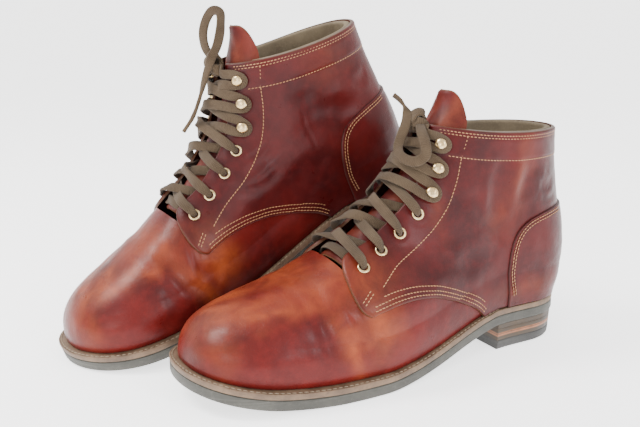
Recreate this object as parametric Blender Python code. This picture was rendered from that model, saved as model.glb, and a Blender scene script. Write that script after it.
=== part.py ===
"""A pair of six-inch plain-toe leather service boots, built as separate pieces.

Each boot is modelled in its own frame in millimetres: +x lateral side, y from the toe (0) to the
heel (300), z up from the floor. The right boot is the mirror image of the left one and stands
tipped forward on its toe. Every upper piece follows one last surface x = X(y, z); each layer is
that surface moved along its normal, so the leathers lie over one another as on the real boot.
"""
import bpy
import bmesh
import math
import numpy as np
from mathutils import Matrix, Vector

# ---------------------------------------------------------------- driving dimensions (mm, degrees)
BALL_Y = 95.0            # front of the flat tread
WAIST_Y = 125.0          # where the sole starts to rise to the heel
BREAST_Y = 236.0         # heel breast
TOE_SPRING = 15.0        # height of the toe end of the tread
HEEL_RISE = 20.0         # height of the outsole over the heel
SOLE_T = 12.7            # tread to lower edge of the upper
OUTSOLE_T = 7.4
WELT_T = 4.4
TOPLIFT_T = 7.0
COLLAR_Z = 162.0         # top line at the back
COLLAR_FRONT_Z = 170.0
GAP = 0.3                # between touching pieces
VAMP = (0.0, 1.4)        # layers, measured along the surface normal
QUARTER = (2.4, 4.2)
COVER = (4.9, 6.1)
LINING = (-3.6, -2.4)
TONGUE = (-6.6, -4.3)
LACE_R = 1.55
EYELET_HOLE_R = 2.3
EYELET_YZ = [(122.0, 78.5), (138.5, 87.0), (155.0, 97.5), (169.5, 109.5)]
HOOK_YZ = [(180.5, 123.0), (188.0, 138.5), (193.5, 155.0)]
FACING_MARGIN = 11.0     # eyelet centre to facing edge
TONGUE_HINGE = (113.5, 82.0)
RIGHT_X = -105.0         # right boot against the left one
RIGHT_Y = -44.6
TILT_DEG = 19.5          # right boot, heel raised
TILT_PIVOT_Y = 42.42      # the tilt axis lies on the floor, this far behind the toe
PAIR_SHIFT = (52.5, -131.56)  # puts the middle of the floor plan at the origin

MM = 0.001

# ---------------------------------------------------------------- last surface
W_Y = [0, 25, 50, 75, 100, 125, 150, 175, 200, 226, 253, 280, 311]
W_LAT = [45, 45, 47, 50, 52.5, 53, 50, 45, 39, 33.5, 30.5, 30, 30.5]
W_MED = [45, 47, 47, 46, 43, 37, 32, 29, 28.5, 28.5, 29, 29.5, 30.5]
RIDGE_Y = [-60, 0, 30, 50, 75, 100, 125, 150, 168, 180.5, 188.5, 192.5, 194, 194]
RIDGE_Z = [48, 54, 58, 62, 69, 80, 95, 114, 131, 147, 162, 178, 200, 230]
BACK_Z = [0, 20, 37, 50, 66, 85, 100, 121, 140, 155, 175, 200, 230]
BACK_Y = [302, 302.5, 303.5, 307, 308.5, 307.5, 305.5, 302.5, 300, 298.5, 298, 298, 298]
N_EXP = 2.15
P_EXP = 3.0


def smooth(t):
    t = np.clip(t, 0, 1)
    return t * t * (3 - 2 * t)


def pchip(xs, ys, x):
    """monotone cubic through (xs, ys)"""
    xs = np.asarray(xs, float)
    ys = np.asarray(ys, float)
    h = np.diff(xs)
    s = np.diff(ys) / h
    m = np.zeros_like(xs)
    for i in range(1, len(xs) - 1):
        if s[i - 1] * s[i] > 0:
            w1 = 2 * h[i] + h[i - 1]
            w2 = h[i] + 2 * h[i - 1]
            m[i] = (w1 + w2) / (w1 / s[i - 1] + w2 / s[i])
    m[0] = s[0]
    m[-1] = s[-1]
    x = np.asarray(x, float)
    i = np.clip(np.searchsorted(xs, x, side='right') - 1, 0, len(xs) - 2)
    t = np.clip((x - xs[i]) / h[i], 0, 1)
    return ((1 + 2 * t) * (1 - t) ** 2 * ys[i] + t * (1 - t) ** 2 * h[i] * m[i]
            + t * t * (3 - 2 * t) * ys[i + 1] + t * t * (t - 1) * h[i] * m[i + 1])


def sole_z(y):
    y = np.asarray(y, float)
    toe = TOE_SPRING * np.clip((BALL_Y - y) / BALL_Y, 0, None) ** 2
    t = np.clip((y - WAIST_Y) / (BREAST_Y - WAIST_Y), 0, 1)
    return toe + HEEL_RISE * (0.45 * t * t + 0.55 * smooth(t))


def feather_z(y):
    return sole_z(y) + SOLE_T


def polyline_smooth(ys, zs, n, passes):
    d = np.r_[0, np.cumsum(np.hypot(np.diff(ys), np.diff(zs)))]
    s = np.linspace(0, d[-1], n)
    y = pchip(d, ys, s)
    z = pchip(d, zs, s)
    for _ in range(passes):
        y[1:-1] = (y[:-2] + 2 * y[1:-1] + y[2:]) / 4
        z[1:-1] = (z[:-2] + 2 * z[1:-1] + z[2:]) / 4
    return np.stack([y, z], 1)


RC = polyline_smooth(RIDGE_Y, RIDGE_Z, 400, 30)
RC_S = np.r_[0, np.cumsum(np.linalg.norm(np.diff(RC, axis=0), axis=1))]


def ridge_foot(y, z):
    """signed distance to the ridge line (positive inside the boot) and the place along it"""
    P = np.stack([np.ravel(y), np.ravel(z)], 1).astype(float)
    a = RC[:-1]
    ab = RC[1:] - a
    L2 = (ab ** 2).sum(1)
    out = np.empty(len(P))
    where = np.empty(len(P))
    for k in range(0, len(P), 4000):
        p = P[k:k + 4000, None, :]
        t = np.clip(((p - a) * ab).sum(2) / L2, 0, 1)
        q = a + t[..., None] * ab
        dd = ((p - q) ** 2).sum(2)
        i = dd.argmin(1)
        r = np.arange(len(i))
        cr = ab[i, 0] * (p[:, 0, 1] - a[i, 1]) - ab[i, 1] * (p[:, 0, 0] - a[i, 0])
        out[k:k + 4000] = np.sqrt(dd[r, i]) * np.where(cr < 0, 1, -1)
        where[k:k + 4000] = RC_S[i] + t[r, i] * np.sqrt(L2[i])
    return out.reshape(np.shape(y)), where.reshape(np.shape(y))


def back_y(z):
    return pchip(BACK_Z, BACK_Y, z)


def toe_y(z):
    return 6.0 + 0.10 * (np.asarray(z) - 23)


def crown(y, z):
    """0 in the flat of a side, 1 on the boot's outline seen from the side"""
    a = np.clip(1 - ridge_foot(y, z)[0] / (35 + 17 * smooth((y - 55) / 90.0)), 0, None)
    b = np.clip(1 - (y - toe_y(z)) / 52.0, 0, None)
    e = np.clip(1 - (back_y(z) - y) / (33 + 14 * smooth((z - 60) / 90.0)), 0, None)
    return (a ** P_EXP + b ** P_EXP + e ** P_EXP) ** (1 / P_EXP)


def half_width(y, z, side):
    low = pchip(W_Y, W_LAT if side > 0 else W_MED, y)
    high = pchip([20, 60, 90, 110, 140, 180, 230], [34, 34, 32.5, 31.5, 32, 34, 35.5], z)
    s = smooth((z - 42 - 0.10 * np.clip(200 - y, 0, None)) / 52.0) * smooth((y - 85) / 60.0)
    tuck = 1 + 0.045 * np.sin(np.clip((z - feather_z(y)) / 26.0, -0.3, 1) * np.pi)
    return (low * (1 - s) + high * s) * tuck


def base_x(y, z, side):
    c = np.clip(crown(y, z), 0, 1)
    return side * half_width(y, z, side) * (1 - c ** N_EXP) ** (1 / N_EXP)


def level(x, y, z, side):
    return (np.abs(x) / half_width(y, z, side)) ** N_EXP + crown(y, z) ** N_EXP - 1


def normals(P, side):
    x, y, z = P[..., 0], P[..., 1], P[..., 2]
    e = 0.15
    n = np.stack([level(x + e, y, z, side) - level(x - e, y, z, side),
                  level(x, y + e, z, side) - level(x, y - e, z, side),
                  level(x, y, z + e, side) - level(x, y, z - e, side)], -1)
    return n / (np.linalg.norm(n, axis=-1, keepdims=True) + 1e-12)


def over(t, s, off):
    """a point by ridge place t, girth distance s from the ridge (signed: + lateral) and height off"""
    side = 1 if s >= 0 else -1
    R = np.array([np.interp(t, RC_S, RC[:, 0]), np.interp(t, RC_S, RC[:, 1])])
    R2 = np.array([np.interp(t + 1, RC_S, RC[:, 0]), np.interp(t + 1, RC_S, RC[:, 1])])
    T = (R2 - R) / np.linalg.norm(R2 - R)
    Nin = np.array([T[1], -T[0]])
    d = np.linspace(0, 1, 90) ** 2 * 48
    y = R[0] + Nin[0] * d
    z = R[1] + Nin[1] * d
    x = np.abs(base_x(y, z, side))
    x[0] = 0
    arc = np.r_[0, np.cumsum(np.sqrt(np.diff(x) ** 2 + np.diff(y) ** 2 + np.diff(z) ** 2))]
    k = abs(s)
    P = np.array([side * np.interp(k, arc, x), np.interp(k, arc, y), np.interp(k, arc, z)])
    n = normals(P[None], side)[0]
    if k < 0.5:
        n[0] = 0
        n /= np.linalg.norm(n)
    return P + n * off, n


def girth(y, z, side=1):
    """(t, s) of a point of the side view"""
    d0, t = ridge_foot(np.array([y]), np.array([z]))
    lo, hi = 0.0, 60.0
    for _ in range(30):
        m = (lo + hi) / 2
        P, _n = over(float(t[0]), m * side, 0)
        dd = ridge_foot(P[1:2], P[2:3])[0][0]
        if dd < d0[0]:
            lo = m
        else:
            hi = m
    return float(t[0]), lo


# ---------------------------------------------------------------- outlines in the side view
def spaced(curve, n, ease=None):
    """n + 1 points along a polyline, evenly by length or eased"""
    c = np.asarray(curve, float)
    d = np.r_[0, np.cumsum(np.linalg.norm(np.diff(c, axis=0), axis=1))]
    u = np.linspace(0, 1, n + 1)
    if ease is not None:
        u = ease(u)
    return np.stack([np.interp(u * d[-1], d, c[:, 0]), np.interp(u * d[-1], d, c[:, 1])], 1)


def rounded(points, n=60, passes=6):
    """a smooth line through corner points"""
    p = np.asarray(points, float)
    return polyline_smooth(p[:, 0], p[:, 1], n, passes) if np.all(np.diff(np.r_[0, np.cumsum(np.hypot(np.diff(p[:, 0]), np.diff(p[:, 1])))]) > 0) else p


def outline_point(y0, z0, dy, dz):
    """from an inner point towards (dy, dz) to the side-view outline"""
    lo, hi = 0.0, 200.0
    for _ in range(44):
        m = (lo + hi) / 2
        if crown(np.array([y0 + dy * m]), np.array([z0 + dz * m]))[0] < 1:
            lo = m
        else:
            hi = m
    return np.array([y0 + dy * lo, z0 + dz * lo])


TOE_CORNER_DEG = 148.0
Q0 = (62.0, 30.0)


def toe_wall():
    """from the ridge end down the front of the toe to the feather line"""
    z1 = float(feather_z(6.0))
    lowpt = outline_point(60.0, z1, -1.0, 0.0)
    a1 = math.atan2(lowpt[1] - Q0[1], lowpt[0] - Q0[0]) % (2 * math.pi)
    a0 = math.radians(TOE_CORNER_DEG)
    pts = [outline_point(Q0[0], Q0[1], math.cos(a), math.sin(a)) for a in np.linspace(a0, a1, 24)]
    return np.array(pts)


def ridge_top(y_end):
    """from the toe corner along the top of the toe and the instep to y_end"""
    a0 = math.radians(TOE_CORNER_DEG)
    pts = [outline_point(Q0[0], Q0[1], math.cos(a), math.sin(a)) for a in np.linspace(a0, math.radians(95), 24)]
    last = pts[-1][0]
    for y in np.linspace(last + 3, y_end, 24):
        z = np.interp(y, RC[:, 0], RC[:, 1])
        pts.append(np.array([y, z]))
    return np.array(pts)


TOEWALL = toe_wall()
FEATHER_Y0 = TOEWALL[-1][0]


def feather(y0, y1, n=60):
    y = np.linspace(y0, y1, n)
    return np.stack([y, feather_z(y)], 1)


HEEL_Y = float(back_y(feather_z(290.0)))


def back_line(z0, z1, n=40):
    z = np.linspace(z0, z1, n)
    return np.stack([back_y(z), z], 1)


def collar_z(y):
    t = np.clip((y - 180) / 110.0, 0, 1)
    return COLLAR_FRONT_Z + (COLLAR_Z - COLLAR_FRONT_Z) * t - 2.5 * np.sin(np.pi * t)


def facing_line(margin, rows=None):
    """side-view line at a girth distance in front of (or behind) the eyelet row"""
    out = []
    for (y, z) in (EYELET_YZ + HOOK_YZ):
        t, s = girth(y, z)
        P, _n = over(t, max(s - margin, 0.5), 0)
        out.append((P[1], P[2]))
    return out


ROW_TS = [girth(y, z) for (y, z) in EYELET_YZ + HOOK_YZ]
ROW_TS_MED = [girth(y, z, -1) for (y, z) in EYELET_YZ + HOOK_YZ]
EDGE_T = [t for t, s in ROW_TS]
EDGE_S = [s for t, s in ROW_TS]


def row_s(t):
    return float(np.interp(t, EDGE_T, EDGE_S))


def extend_to_collar(t_from, margin):
    """the facing line from the top row up to the top line"""
    pts = []
    for k in range(40):
        t = t_from + 1.0 + k * 1.0
        P, _n = over(t, EDGE_S[-1] - margin, 0)
        pts.append((P[1], P[2]))
        if P[2] >= collar_z(P[1]):
            break
    # last point exactly on the top line
    a, b = np.array(pts[-2]), np.array(pts[-1])
    fa, fb = a[1] - collar_z(a[0]), b[1] - collar_z(b[0])
    pts[-1] = tuple(a + (b - a) * (-fa / (fb - fa)))
    return pts


FACING = facing_line(FACING_MARGIN) + extend_to_collar(EDGE_T[-1], FACING_MARGIN)
LINING_FRONT = facing_line(-9.0) + extend_to_collar(EDGE_T[-1], -9.0)
TIP = (117.0, 52.5)
SEAM = [TIP, (126, 54.6), (138, 56.6), (152, 57.4), (168, 55.8), (184, 51.0), (200, 44.2), (212, 38.2),
        (221.5, float(feather_z(221.5)))]


def coons(left, right, bottom, top, nu, nv, ease_u=None, ease_v=None):
    """side-view grid: u from left to right, v from top (0) to bottom (1)"""
    T = spaced(top, nu, ease_u)
    B = spaced(bottom, nu, ease_u)
    L = spaced(left, nv, ease_v)
    R = spaced(right, nv, ease_v)
    u = np.linspace(0, 1, nu + 1) if ease_u is None else ease_u(np.linspace(0, 1, nu + 1))
    v = np.linspace(0, 1, nv + 1) if ease_v is None else ease_v(np.linspace(0, 1, nv + 1))
    U, V = np.meshgrid(u, v, indexing='ij')
    G = ((1 - V)[..., None] * T[:, None] + V[..., None] * B[:, None]
         + (1 - U)[..., None] * L[None] + U[..., None] * R[None]
         - ((1 - U) * (1 - V))[..., None] * T[0] - (U * (1 - V))[..., None] * T[-1]
         - ((1 - U) * V)[..., None] * B[0] - (U * V)[..., None] * B[-1])
    return G


def ease_in(u):
    return 0.35 * u + 0.65 * u * u


def ease_out(u):
    return 1 - ease_in(1 - u)


def ease_both(u):
    return 0.35 * u + 0.65 * (1 - np.cos(np.pi * u)) / 2


class Skin:
    """collects side-view grids of both sides into one surface, then thickens it"""

    def __init__(self):
        self.P = []
        self.N = []
        self.key = {}
        self.faces = []

    def vert(self, p, n):
        k = (round(p[0] * 50), round(p[1] * 50), round(p[2] * 50))
        for dx in (0, -1, 1):
            for dy in (0, -1, 1):
                for dz in (0, -1, 1):
                    j = self.key.get((k[0] + dx, k[1] + dy, k[2] + dz))
                    if j is not None:
                        return j
        self.key[k] = len(self.P)
        self.P.append(np.array(p))
        self.N.append(np.array(n))
        return self.key[k]

    def grid(self, G, side, zero=(), keep_x=None):
        """zero: edges lying in the middle plane, from 'left right top bottom'"""
        x = base_x(G[..., 0], G[..., 1], side)
        P = np.stack([x, G[..., 0], G[..., 1]], -1)
        mid = np.zeros(x.shape, bool)
        for e in zero:
            if e == 'left':
                mid[0, :] = True
            if e == 'right':
                mid[-1, :] = True
            if e == 'top':
                mid[:, 0] = True
            if e == 'bottom':
                mid[:, -1] = True
            if isinstance(e, int):
                mid[:e + 1, 0] = True
        P[mid, 0] = 0
        N = normals(P + np.array([1e-3 * side, 0, 0]), side)
        N[mid, 0] = 0
        N /= np.linalg.norm(N, axis=-1, keepdims=True)
        if keep_x is not None:
            P[mid, 0] = keep_x * side
        idx = np.empty(x.shape, int)
        for i in range(x.shape[0]):
            for j in range(x.shape[1]):
                idx[i, j] = self.vert(P[i, j], N[i, j])
        for i in range(x.shape[0] - 1):
            for j in range(x.shape[1] - 1):
                f = [idx[i, j], idx[i + 1, j], idx[i + 1, j + 1], idx[i, j + 1]]
                if side < 0:
                    f.reverse()
                g = [f[k] for k in range(4) if f[k] != f[k - 1]]
                if len(set(g)) >= 3:
                    self.faces.append(g)

    def thick(self, lo, hi):
        """closed shell between two heights, each a number or a function of (point)"""
        P = np.array(self.P)
        N = np.array(self.N)
        lo_v = np.array([lo(p) if callable(lo) else lo for p in P])
        hi_v = np.array([hi(p) if callable(hi) else hi for p in P])
        A = P + N * lo_v[:, None]
        B = P + N * hi_v[:, None]
        # lower edges all end on the feather line, above the welt
        A[:, 2] = np.maximum(A[:, 2], feather_z(A[:, 1]))
        B[:, 2] = np.maximum(B[:, 2], feather_z(B[:, 1]))
        n = len(P)
        verts = [tuple(v) for v in A] + [tuple(v) for v in B]
        faces = [[i + n for i in f] for f in self.faces] + [list(reversed(f)) for f in self.faces]
        edges = {}
        for f in self.faces:
            for k in range(len(f)):
                e = (f[k], f[(k + 1) % len(f)])
                edges[e] = edges.get(e, 0) + 1
        for (a, b) in list(edges):
            if (b, a) not in edges:
                faces.append([a, b, b + n, a + n])
        return verts, faces


# ---------------------------------------------------------------- upper pieces (mesh data, left boot)
THROAT_Y = 107.0


def throat_edge(ridge_y, girth_s, n):
    """from the ridge straight down the side: the back edge of a piece that ends at the throat"""
    t = float(np.interp(ridge_y, RC[:, 0], RC_S))
    return np.array([over(t, girth_s * k / n, 0)[0][1:] for k in range(n + 1)])


def make_vamp():
    sk = Skin()
    ridge = ridge_top(THROAT_Y)
    throat = throat_edge(THROAT_Y, 23.0, 4)
    hidden = rounded([tuple(throat[-1]), (121, 65.0), (134, 64.5), (152, 66), (170, 65), (188, 60), (205, 53), (220, 46), (236, 44.0)], 40, 3)
    end = float(feather_z(236.0))
    nr, nh, nv = 8, 6, 5
    for side in (1, -1):
        T = np.vstack([spaced(ridge, nr, ease_in), throat[1:], spaced(hidden, nh)[1:]])
        fy = np.r_[FEATHER_Y0 + (96.0 - FEATHER_Y0) * ease_in(np.linspace(0, 1, nr + 1)), [102, 108, 114, 121], np.linspace(121, 236, nh + 1)[1:]]
        B = np.stack([fy, feather_z(fy)], 1)
        L = spaced(TOEWALL, nv)
        R = spaced([hidden[-1], (236.0, end)], nv)
        G = coons_fixed(T, B, L, R, lambda v: 0.30 * v + 0.70 * v ** 1.9)
        sk.grid(G, side, zero=('left', nr))
    return sk.thick(*VAMP)


def coons_fixed(T, B, L, R, ease_v=None):
    """grid between ready-spaced edges"""
    nu, nv = len(T) - 1, len(L) - 1
    d = np.r_[0, np.cumsum(np.linalg.norm(np.diff(B, axis=0), axis=1))]
    e = np.r_[0, np.cumsum(np.linalg.norm(np.diff(T, axis=0), axis=1))]
    u = (d / d[-1] + e / e[-1]) / 2
    v = np.linspace(0, 1, nv + 1)
    if ease_v is not None:
        v = ease_v(v)
        L = spaced(L, nv, ease_v)
        R = spaced(R, nv, ease_v)
    U, V = np.meshgrid(u, v, indexing='ij')
    return ((1 - V)[..., None] * T[:, None] + V[..., None] * B[:, None]
            + (1 - U)[..., None] * L[None] + U[..., None] * R[None]
            - ((1 - U) * (1 - V))[..., None] * T[0] - (U * (1 - V))[..., None] * T[-1]
            - ((1 - U) * V)[..., None] * B[0] - (U * V)[..., None] * B[-1])


def quarter_front():
    """tip, lower front corner and facing edge, upwards"""
    return rounded([TIP, (112.5, 54.5), (109.3, 60.0), (107.8, 67.5), (108.6, 76.0), (112.0, 82.0)] + FACING[1:], 90, 4)


def make_quarter(side):
    sk = Skin()
    front = quarter_front()
    collar_y = np.linspace(front[-1][0], float(back_y(COLLAR_Z)), 30)
    top = np.stack([collar_y, collar_z(collar_y)], 1)
    top[-1] = (float(back_y(COLLAR_Z)), COLLAR_Z)
    zb = float(feather_z(285.0))
    back = back_line(COLLAR_Z, zb)
    n_seam, n_heel, nv = 6, 6, 10
    seam = spaced(rounded(SEAM, 50, 3), n_seam)
    heel = spaced(feather(SEAM[-1][0], float(back_y(zb))), n_heel, ease_out)
    B = np.vstack([seam, heel[1:]])
    T = spaced(top, n_seam + n_heel, lambda u: 0.8 * ease_out(u) + 0.2 * u)
    L = spaced(front[::-1], nv, ease_both)
    G = coons_fixed(T, B, L, spaced(back, nv))
    sk.grid(G, side, zero=('right',), keep_x=0.25)
    return sk.thick(*QUARTER)


def make_cover():
    sk = Skin()
    zb = float(feather_z(285.0))
    front = rounded([(262.0, 97.5), (252.0, 91.5), (246.0, 82.0), (243.5, 70.0), (243.0, 56.0), (245.0, float(feather_z(245.0)))], 40, 3)
    top = rounded([(262.0, 97.5), (272.0, 100.5), (284.0, 102.5), (float(back_y(104.0)), 104.0)], 20, 1)
    for side in (1, -1):
        B = spaced(feather(245.0, float(back_y(zb))), 6, ease_out)
        T = spaced(top, 6, ease_out)
        G = coons_fixed(T, B, spaced(front, 6), spaced(back_line(104.0, zb), 6))
        sk.grid(G, side, zero=('right',))
    return sk.thick(*COVER)


def lining_hi(p):
    """the lining is padded out to the leather in the collar"""
    return LINING[1] + (1.2 - LINING[1]) * float(smooth((p[2] - 141.0) / 14.0))


def make_lining():
    sk = Skin()
    ymid = 128.0
    zb = float(feather_z(285.0))
    split = (ymid, 58.0)
    ridge = ridge_top(98.0)
    throat = throat_edge(98.0, 26.0, 4)
    nv = 4
    for side in (1, -1):
        # forefoot
        T = np.vstack([spaced(ridge, 7, ease_in), throat[1:], spaced([throat[-1], split], 2)[1:]])
        fy = np.r_[FEATHER_Y0 + (90.0 - FEATHER_Y0) * ease_in(np.linspace(0, 1, 8)), [96, 102, 108, 114, 121, ymid]]
        B = np.stack([fy, feather_z(fy)], 1)
        Rr = spaced([split, (ymid, float(feather_z(ymid)))], nv)
        G = coons_fixed(T, B, spaced(TOEWALL, nv), Rr, None)
        sk.grid(G, side, zero=('left', 7))
        # heel and shaft
        front = np.array(LINING_FRONT)
        front = front[front[:, 1] > 72]
        low = spaced(np.vstack([[split], [(131.0, 68.0)], front]), 6)
        L = np.vstack([low[::-1], Rr[1:]])
        collar_y = np.linspace(L[0][0], float(back_y(COLLAR_Z)), 30)
        top = np.stack([collar_y, collar_z(collar_y)], 1)
        top[-1] = (float(back_y(COLLAR_Z)), COLLAR_Z)
        top[0] = L[0]
        Bh = spaced(feather(ymid, float(back_y(zb))), 7, ease_out)
        Th = spaced(top, 7, ease_out)
        Rb = spaced(back_line(COLLAR_Z, zb), 6 + nv)
        G = coons_fixed(Th, Bh, L, Rb)
        sk.grid(G, side, zero=('right',))
    return sk.thick(LINING[0], lining_hi)


TONGUE_DROP = 15.0


def tongue_lean(p):
    """the free top leans back into the shaft"""
    return 9.0 * float(smooth((p[2] - 160.0) / 36.0))


def make_tongue():
    """leather tongue over the instep, from under the throat to above the top line"""
    t0 = girth(112.0, 84.0)[0]
    t1 = EDGE_T[-1] + 36.0
    nt, ns = 9, 4
    V, N = [], []
    for i in range(nt + 1):
        k = i / nt
        w = 32.0 - 4.0 * k
        for j in range(-ns, ns + 1):
            # the top edge drops towards its corners
            t = t0 + (t1 - TONGUE_DROP * (j / ns) ** 2 - t0) * k
            P, n = over(t, w * j / ns if j else 0.0, 0)
            V.append(P)
            N.append(n)
    V = np.array(V)
    N = np.array(N)
    m = 2 * ns + 1
    F = []
    for i in range(nt):
        for j in range(2 * ns):
            F.append([i * m + j, i * m + j + 1, (i + 1) * m + j + 1, (i + 1) * m + j])
    sk = Skin()
    sk.P, sk.N, sk.faces = list(V), list(N), F
    return sk.thick(lambda p: TONGUE[0] - tongue_lean(p), lambda p: TONGUE[1] - tongue_lean(p))


# ---------------------------------------------------------------- bottom pieces
def plan_curve(side, margin, n=240):
    """feather line in plan, moved outwards by margin(y); toe centre to heel centre"""
    y = FEATHER_Y0 + (HEEL_Y - FEATHER_Y0) * (1 - np.cos(np.linspace(0, np.pi, n))) / 2
    x = base_x(y, feather_z(y), 1 if side > 0 else -1)
    x[0] = x[-1] = 0
    c = np.stack([x, y], 1)
    t = np.gradient(c, axis=0)
    t /= np.linalg.norm(t, axis=1, keepdims=True)
    t[0] = (side, 0)
    t[-1] = (-side, 0)
    nrm = np.stack([t[:, 1], -t[:, 0]], 1) * side
    m = np.array([margin(v) if callable(margin) else margin for v in y])
    o = c + nrm * m[:, None]
    for _ in range(4):
        o[1:-1] = (o[:-2] + 2 * o[1:-1] + o[2:]) / 4
    o[0, 0] = o[-1, 0] = 0
    return o


def sole_margin(y):
    return float(np.interp(y, [0, 60, 110, 160, 200, 236, 260, 300], [6.6, 6.8, 6.8, 5.2, 4.8, 5.2, 5.3, 5.3]))


def outline(side, margin, n, y0=None, y1=None, ease=None):
    c = plan_curve(side, margin)
    if y0 is not None:
        k = int(np.argmax(c[:, 1] > y0))
        f = (y0 - c[k - 1, 1]) / (c[k, 1] - c[k - 1, 1])
        c = np.vstack([c[k - 1] + f * (c[k] - c[k - 1]), c[k:]])
    if y1 is not None:
        k = int(np.argmax(c[:, 1] > y1))
        f = (y1 - c[k - 1, 1]) / (c[k, 1] - c[k - 1, 1])
        c = np.vstack([c[:k], c[k - 1] + f * (c[k] - c[k - 1])])
    return spaced(c, n, ease)


def slab(rows, z_lo, z_hi, mid=1, shift=None):
    """closed plate over plan rows [(medial point, lateral point)], z from two functions of y"""
    verts, faces = [], []
    m = mid + 1

    def ring(zf, sh):
        base = len(verts)
        for (a, b) in rows:
            for j in range(m):
                f = j / mid
                p = np.array(a) * (1 - f) + np.array(b) * f
                verts.append((p[0] if sh is None else p[0], p[1], float(zf(p[1]))))
        return base
    lo = ring(z_lo, None)
    hi = ring(z_hi, None)
    for i in range(len(rows) - 1):
        for j in range(mid):
            q = [i * m + j, i * m + j + 1, (i + 1) * m + j + 1, (i + 1) * m + j]
            faces.append([hi + k for k in q])
            faces.append([lo + k for k in reversed(q)])
        for (j, rev) in ((0, True), (mid, False)):
            q = [lo + i * m + j, lo + (i + 1) * m + j, hi + (i + 1) * m + j, hi + i * m + j]
            faces.append(q[::-1] if rev else q)
    for j in range(mid):
        q = [lo + j, lo + j + 1, hi + j + 1, hi + j]
        faces.append(q)
        e = (len(rows) - 1) * m
        q = [lo + e + j, hi + e + j, hi + e + j + 1, lo + e + j + 1]
        faces.append(q)
    return verts, faces


def rows_of(margin, n, y0=None, y1=None, ease=None):
    a = outline(-1, margin, n, y0, y1, ease)
    b = outline(1, margin, n, y0, y1, ease)
    rows = [(a[i], b[i]) for i in range(n + 1)]
    if y0 is None:
        rows = rows[1:]
    if y1 is None:
        rows = rows[:-1]
    return rows


def make_outsole():
    return slab(rows_of(sole_margin, 34), lambda y: sole_z(y), lambda y: sole_z(y) + OUTSOLE_T)


def make_welt():
    n = 26
    verts, faces = [], []
    loops = []
    for margin in (sole_margin, -0.6):
        a = outline(-1, margin, n)
        b = outline(1, margin, n)
        loops.append(np.vstack([b, a[-2:0:-1]]))
    m = len(loops[0])
    for (lp, dz) in ((0, OUTSOLE_T + 0.45), (0, OUTSOLE_T + GAP + WELT_T), (1, OUTSOLE_T + 0.45), (1, OUTSOLE_T + GAP + WELT_T)):
        for p in loops[lp]:
            verts.append((p[0], p[1], float(sole_z(p[1])) + dz))
    for i in range(m):
        k = (i + 1) % m
        ol, oh, il, ih = i, i + m, i + 2 * m, i + 3 * m
        ol2, oh2, il2, ih2 = k, k + m, k + 2 * m, k + 3 * m
        faces += [[ol, ol2, oh2, oh], [oh, oh2, ih2, ih], [ih, ih2, il2, il], [il, il2, ol2, ol]]
    return verts, faces


def make_cork():
    return slab(rows_of(-1.6, 16, None, 150.0), lambda y: sole_z(y) + OUTSOLE_T + GAP, lambda y: sole_z(y) + OUTSOLE_T + GAP + 3.0)


def make_shank():
    rows = []
    for i in range(11):
        f = i / 10
        y = 153.0 + (262.0 - 153.0) * f
        w = 9.0 + 2.0 * math.sin(math.pi * f) if 0 < f < 1 else 6.0
        rows.append(((2.0 - w, y), (2.0 + w, y)))
    return slab(rows, lambda y: sole_z(y) + OUTSOLE_T + GAP + 0.4, lambda y: sole_z(y) + OUTSOLE_T + GAP + 2.8)


def make_insole():
    return slab(rows_of(-6.3, 22), lambda y: sole_z(y) + OUTSOLE_T + 2 * GAP + 3.0, lambda y: sole_z(y) + OUTSOLE_T + 2 * GAP + 6.0)


def heel_part(z0, z1, m0, m1, curved_top=False):
    """heel layer: outline margins m0 at z0, m1 at z1; breast face across"""
    n = 10
    verts, faces = [], []
    breast0 = BREAST_Y + 1.5
    lo = outline(-1, lambda y: sole_margin(y) + m0, n, breast0), outline(1, lambda y: sole_margin(y) + m0, n, breast0)
    hi = outline(-1, lambda y: sole_margin(y) + m1, n, breast0 - (1.5 if curved_top else 0.6)), outline(1, lambda y: sole_margin(y) + m1, n, breast0 - (1.5 if curved_top else 0.6))
    rows = n
    for (A, B), z in ((lo, z0), (hi, z1)):
        for i in range(n):
            for p in (A[i], B[i]):
                zz = z(p[1]) if callable(z) else z
                verts.append((p[0], p[1], float(zz)))
    L, H = 0, 2 * n
    for i in range(n - 1):
        a, b = 2 * i, 2 * i + 2
        faces.append([H + a, H + a + 1, H + b + 1, H + b])
        faces.append([L + b, L + b + 1, L + a + 1, L + a])
        faces.append([L + a + 1, L + b + 1, H + b + 1, H + a + 1])
        faces.append([L + b, L + a, H + a, H + b])
    faces.append([L, L + 1, H + 1, H])
    e = 2 * (n - 1)
    faces.append([L + e + 1, L + e, H + e, H + e + 1])
    return verts, faces


def make_stack():
    return heel_part(TOPLIFT_T + GAP, lambda y: sole_z(y) - GAP - 0.35 * max(0.0, 1 - (y - BREAST_Y) / 14.0), -1.6, -0.3, True)


def make_toplift():
    return heel_part(0.0, TOPLIFT_T, -2.6, -1.6)


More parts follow.
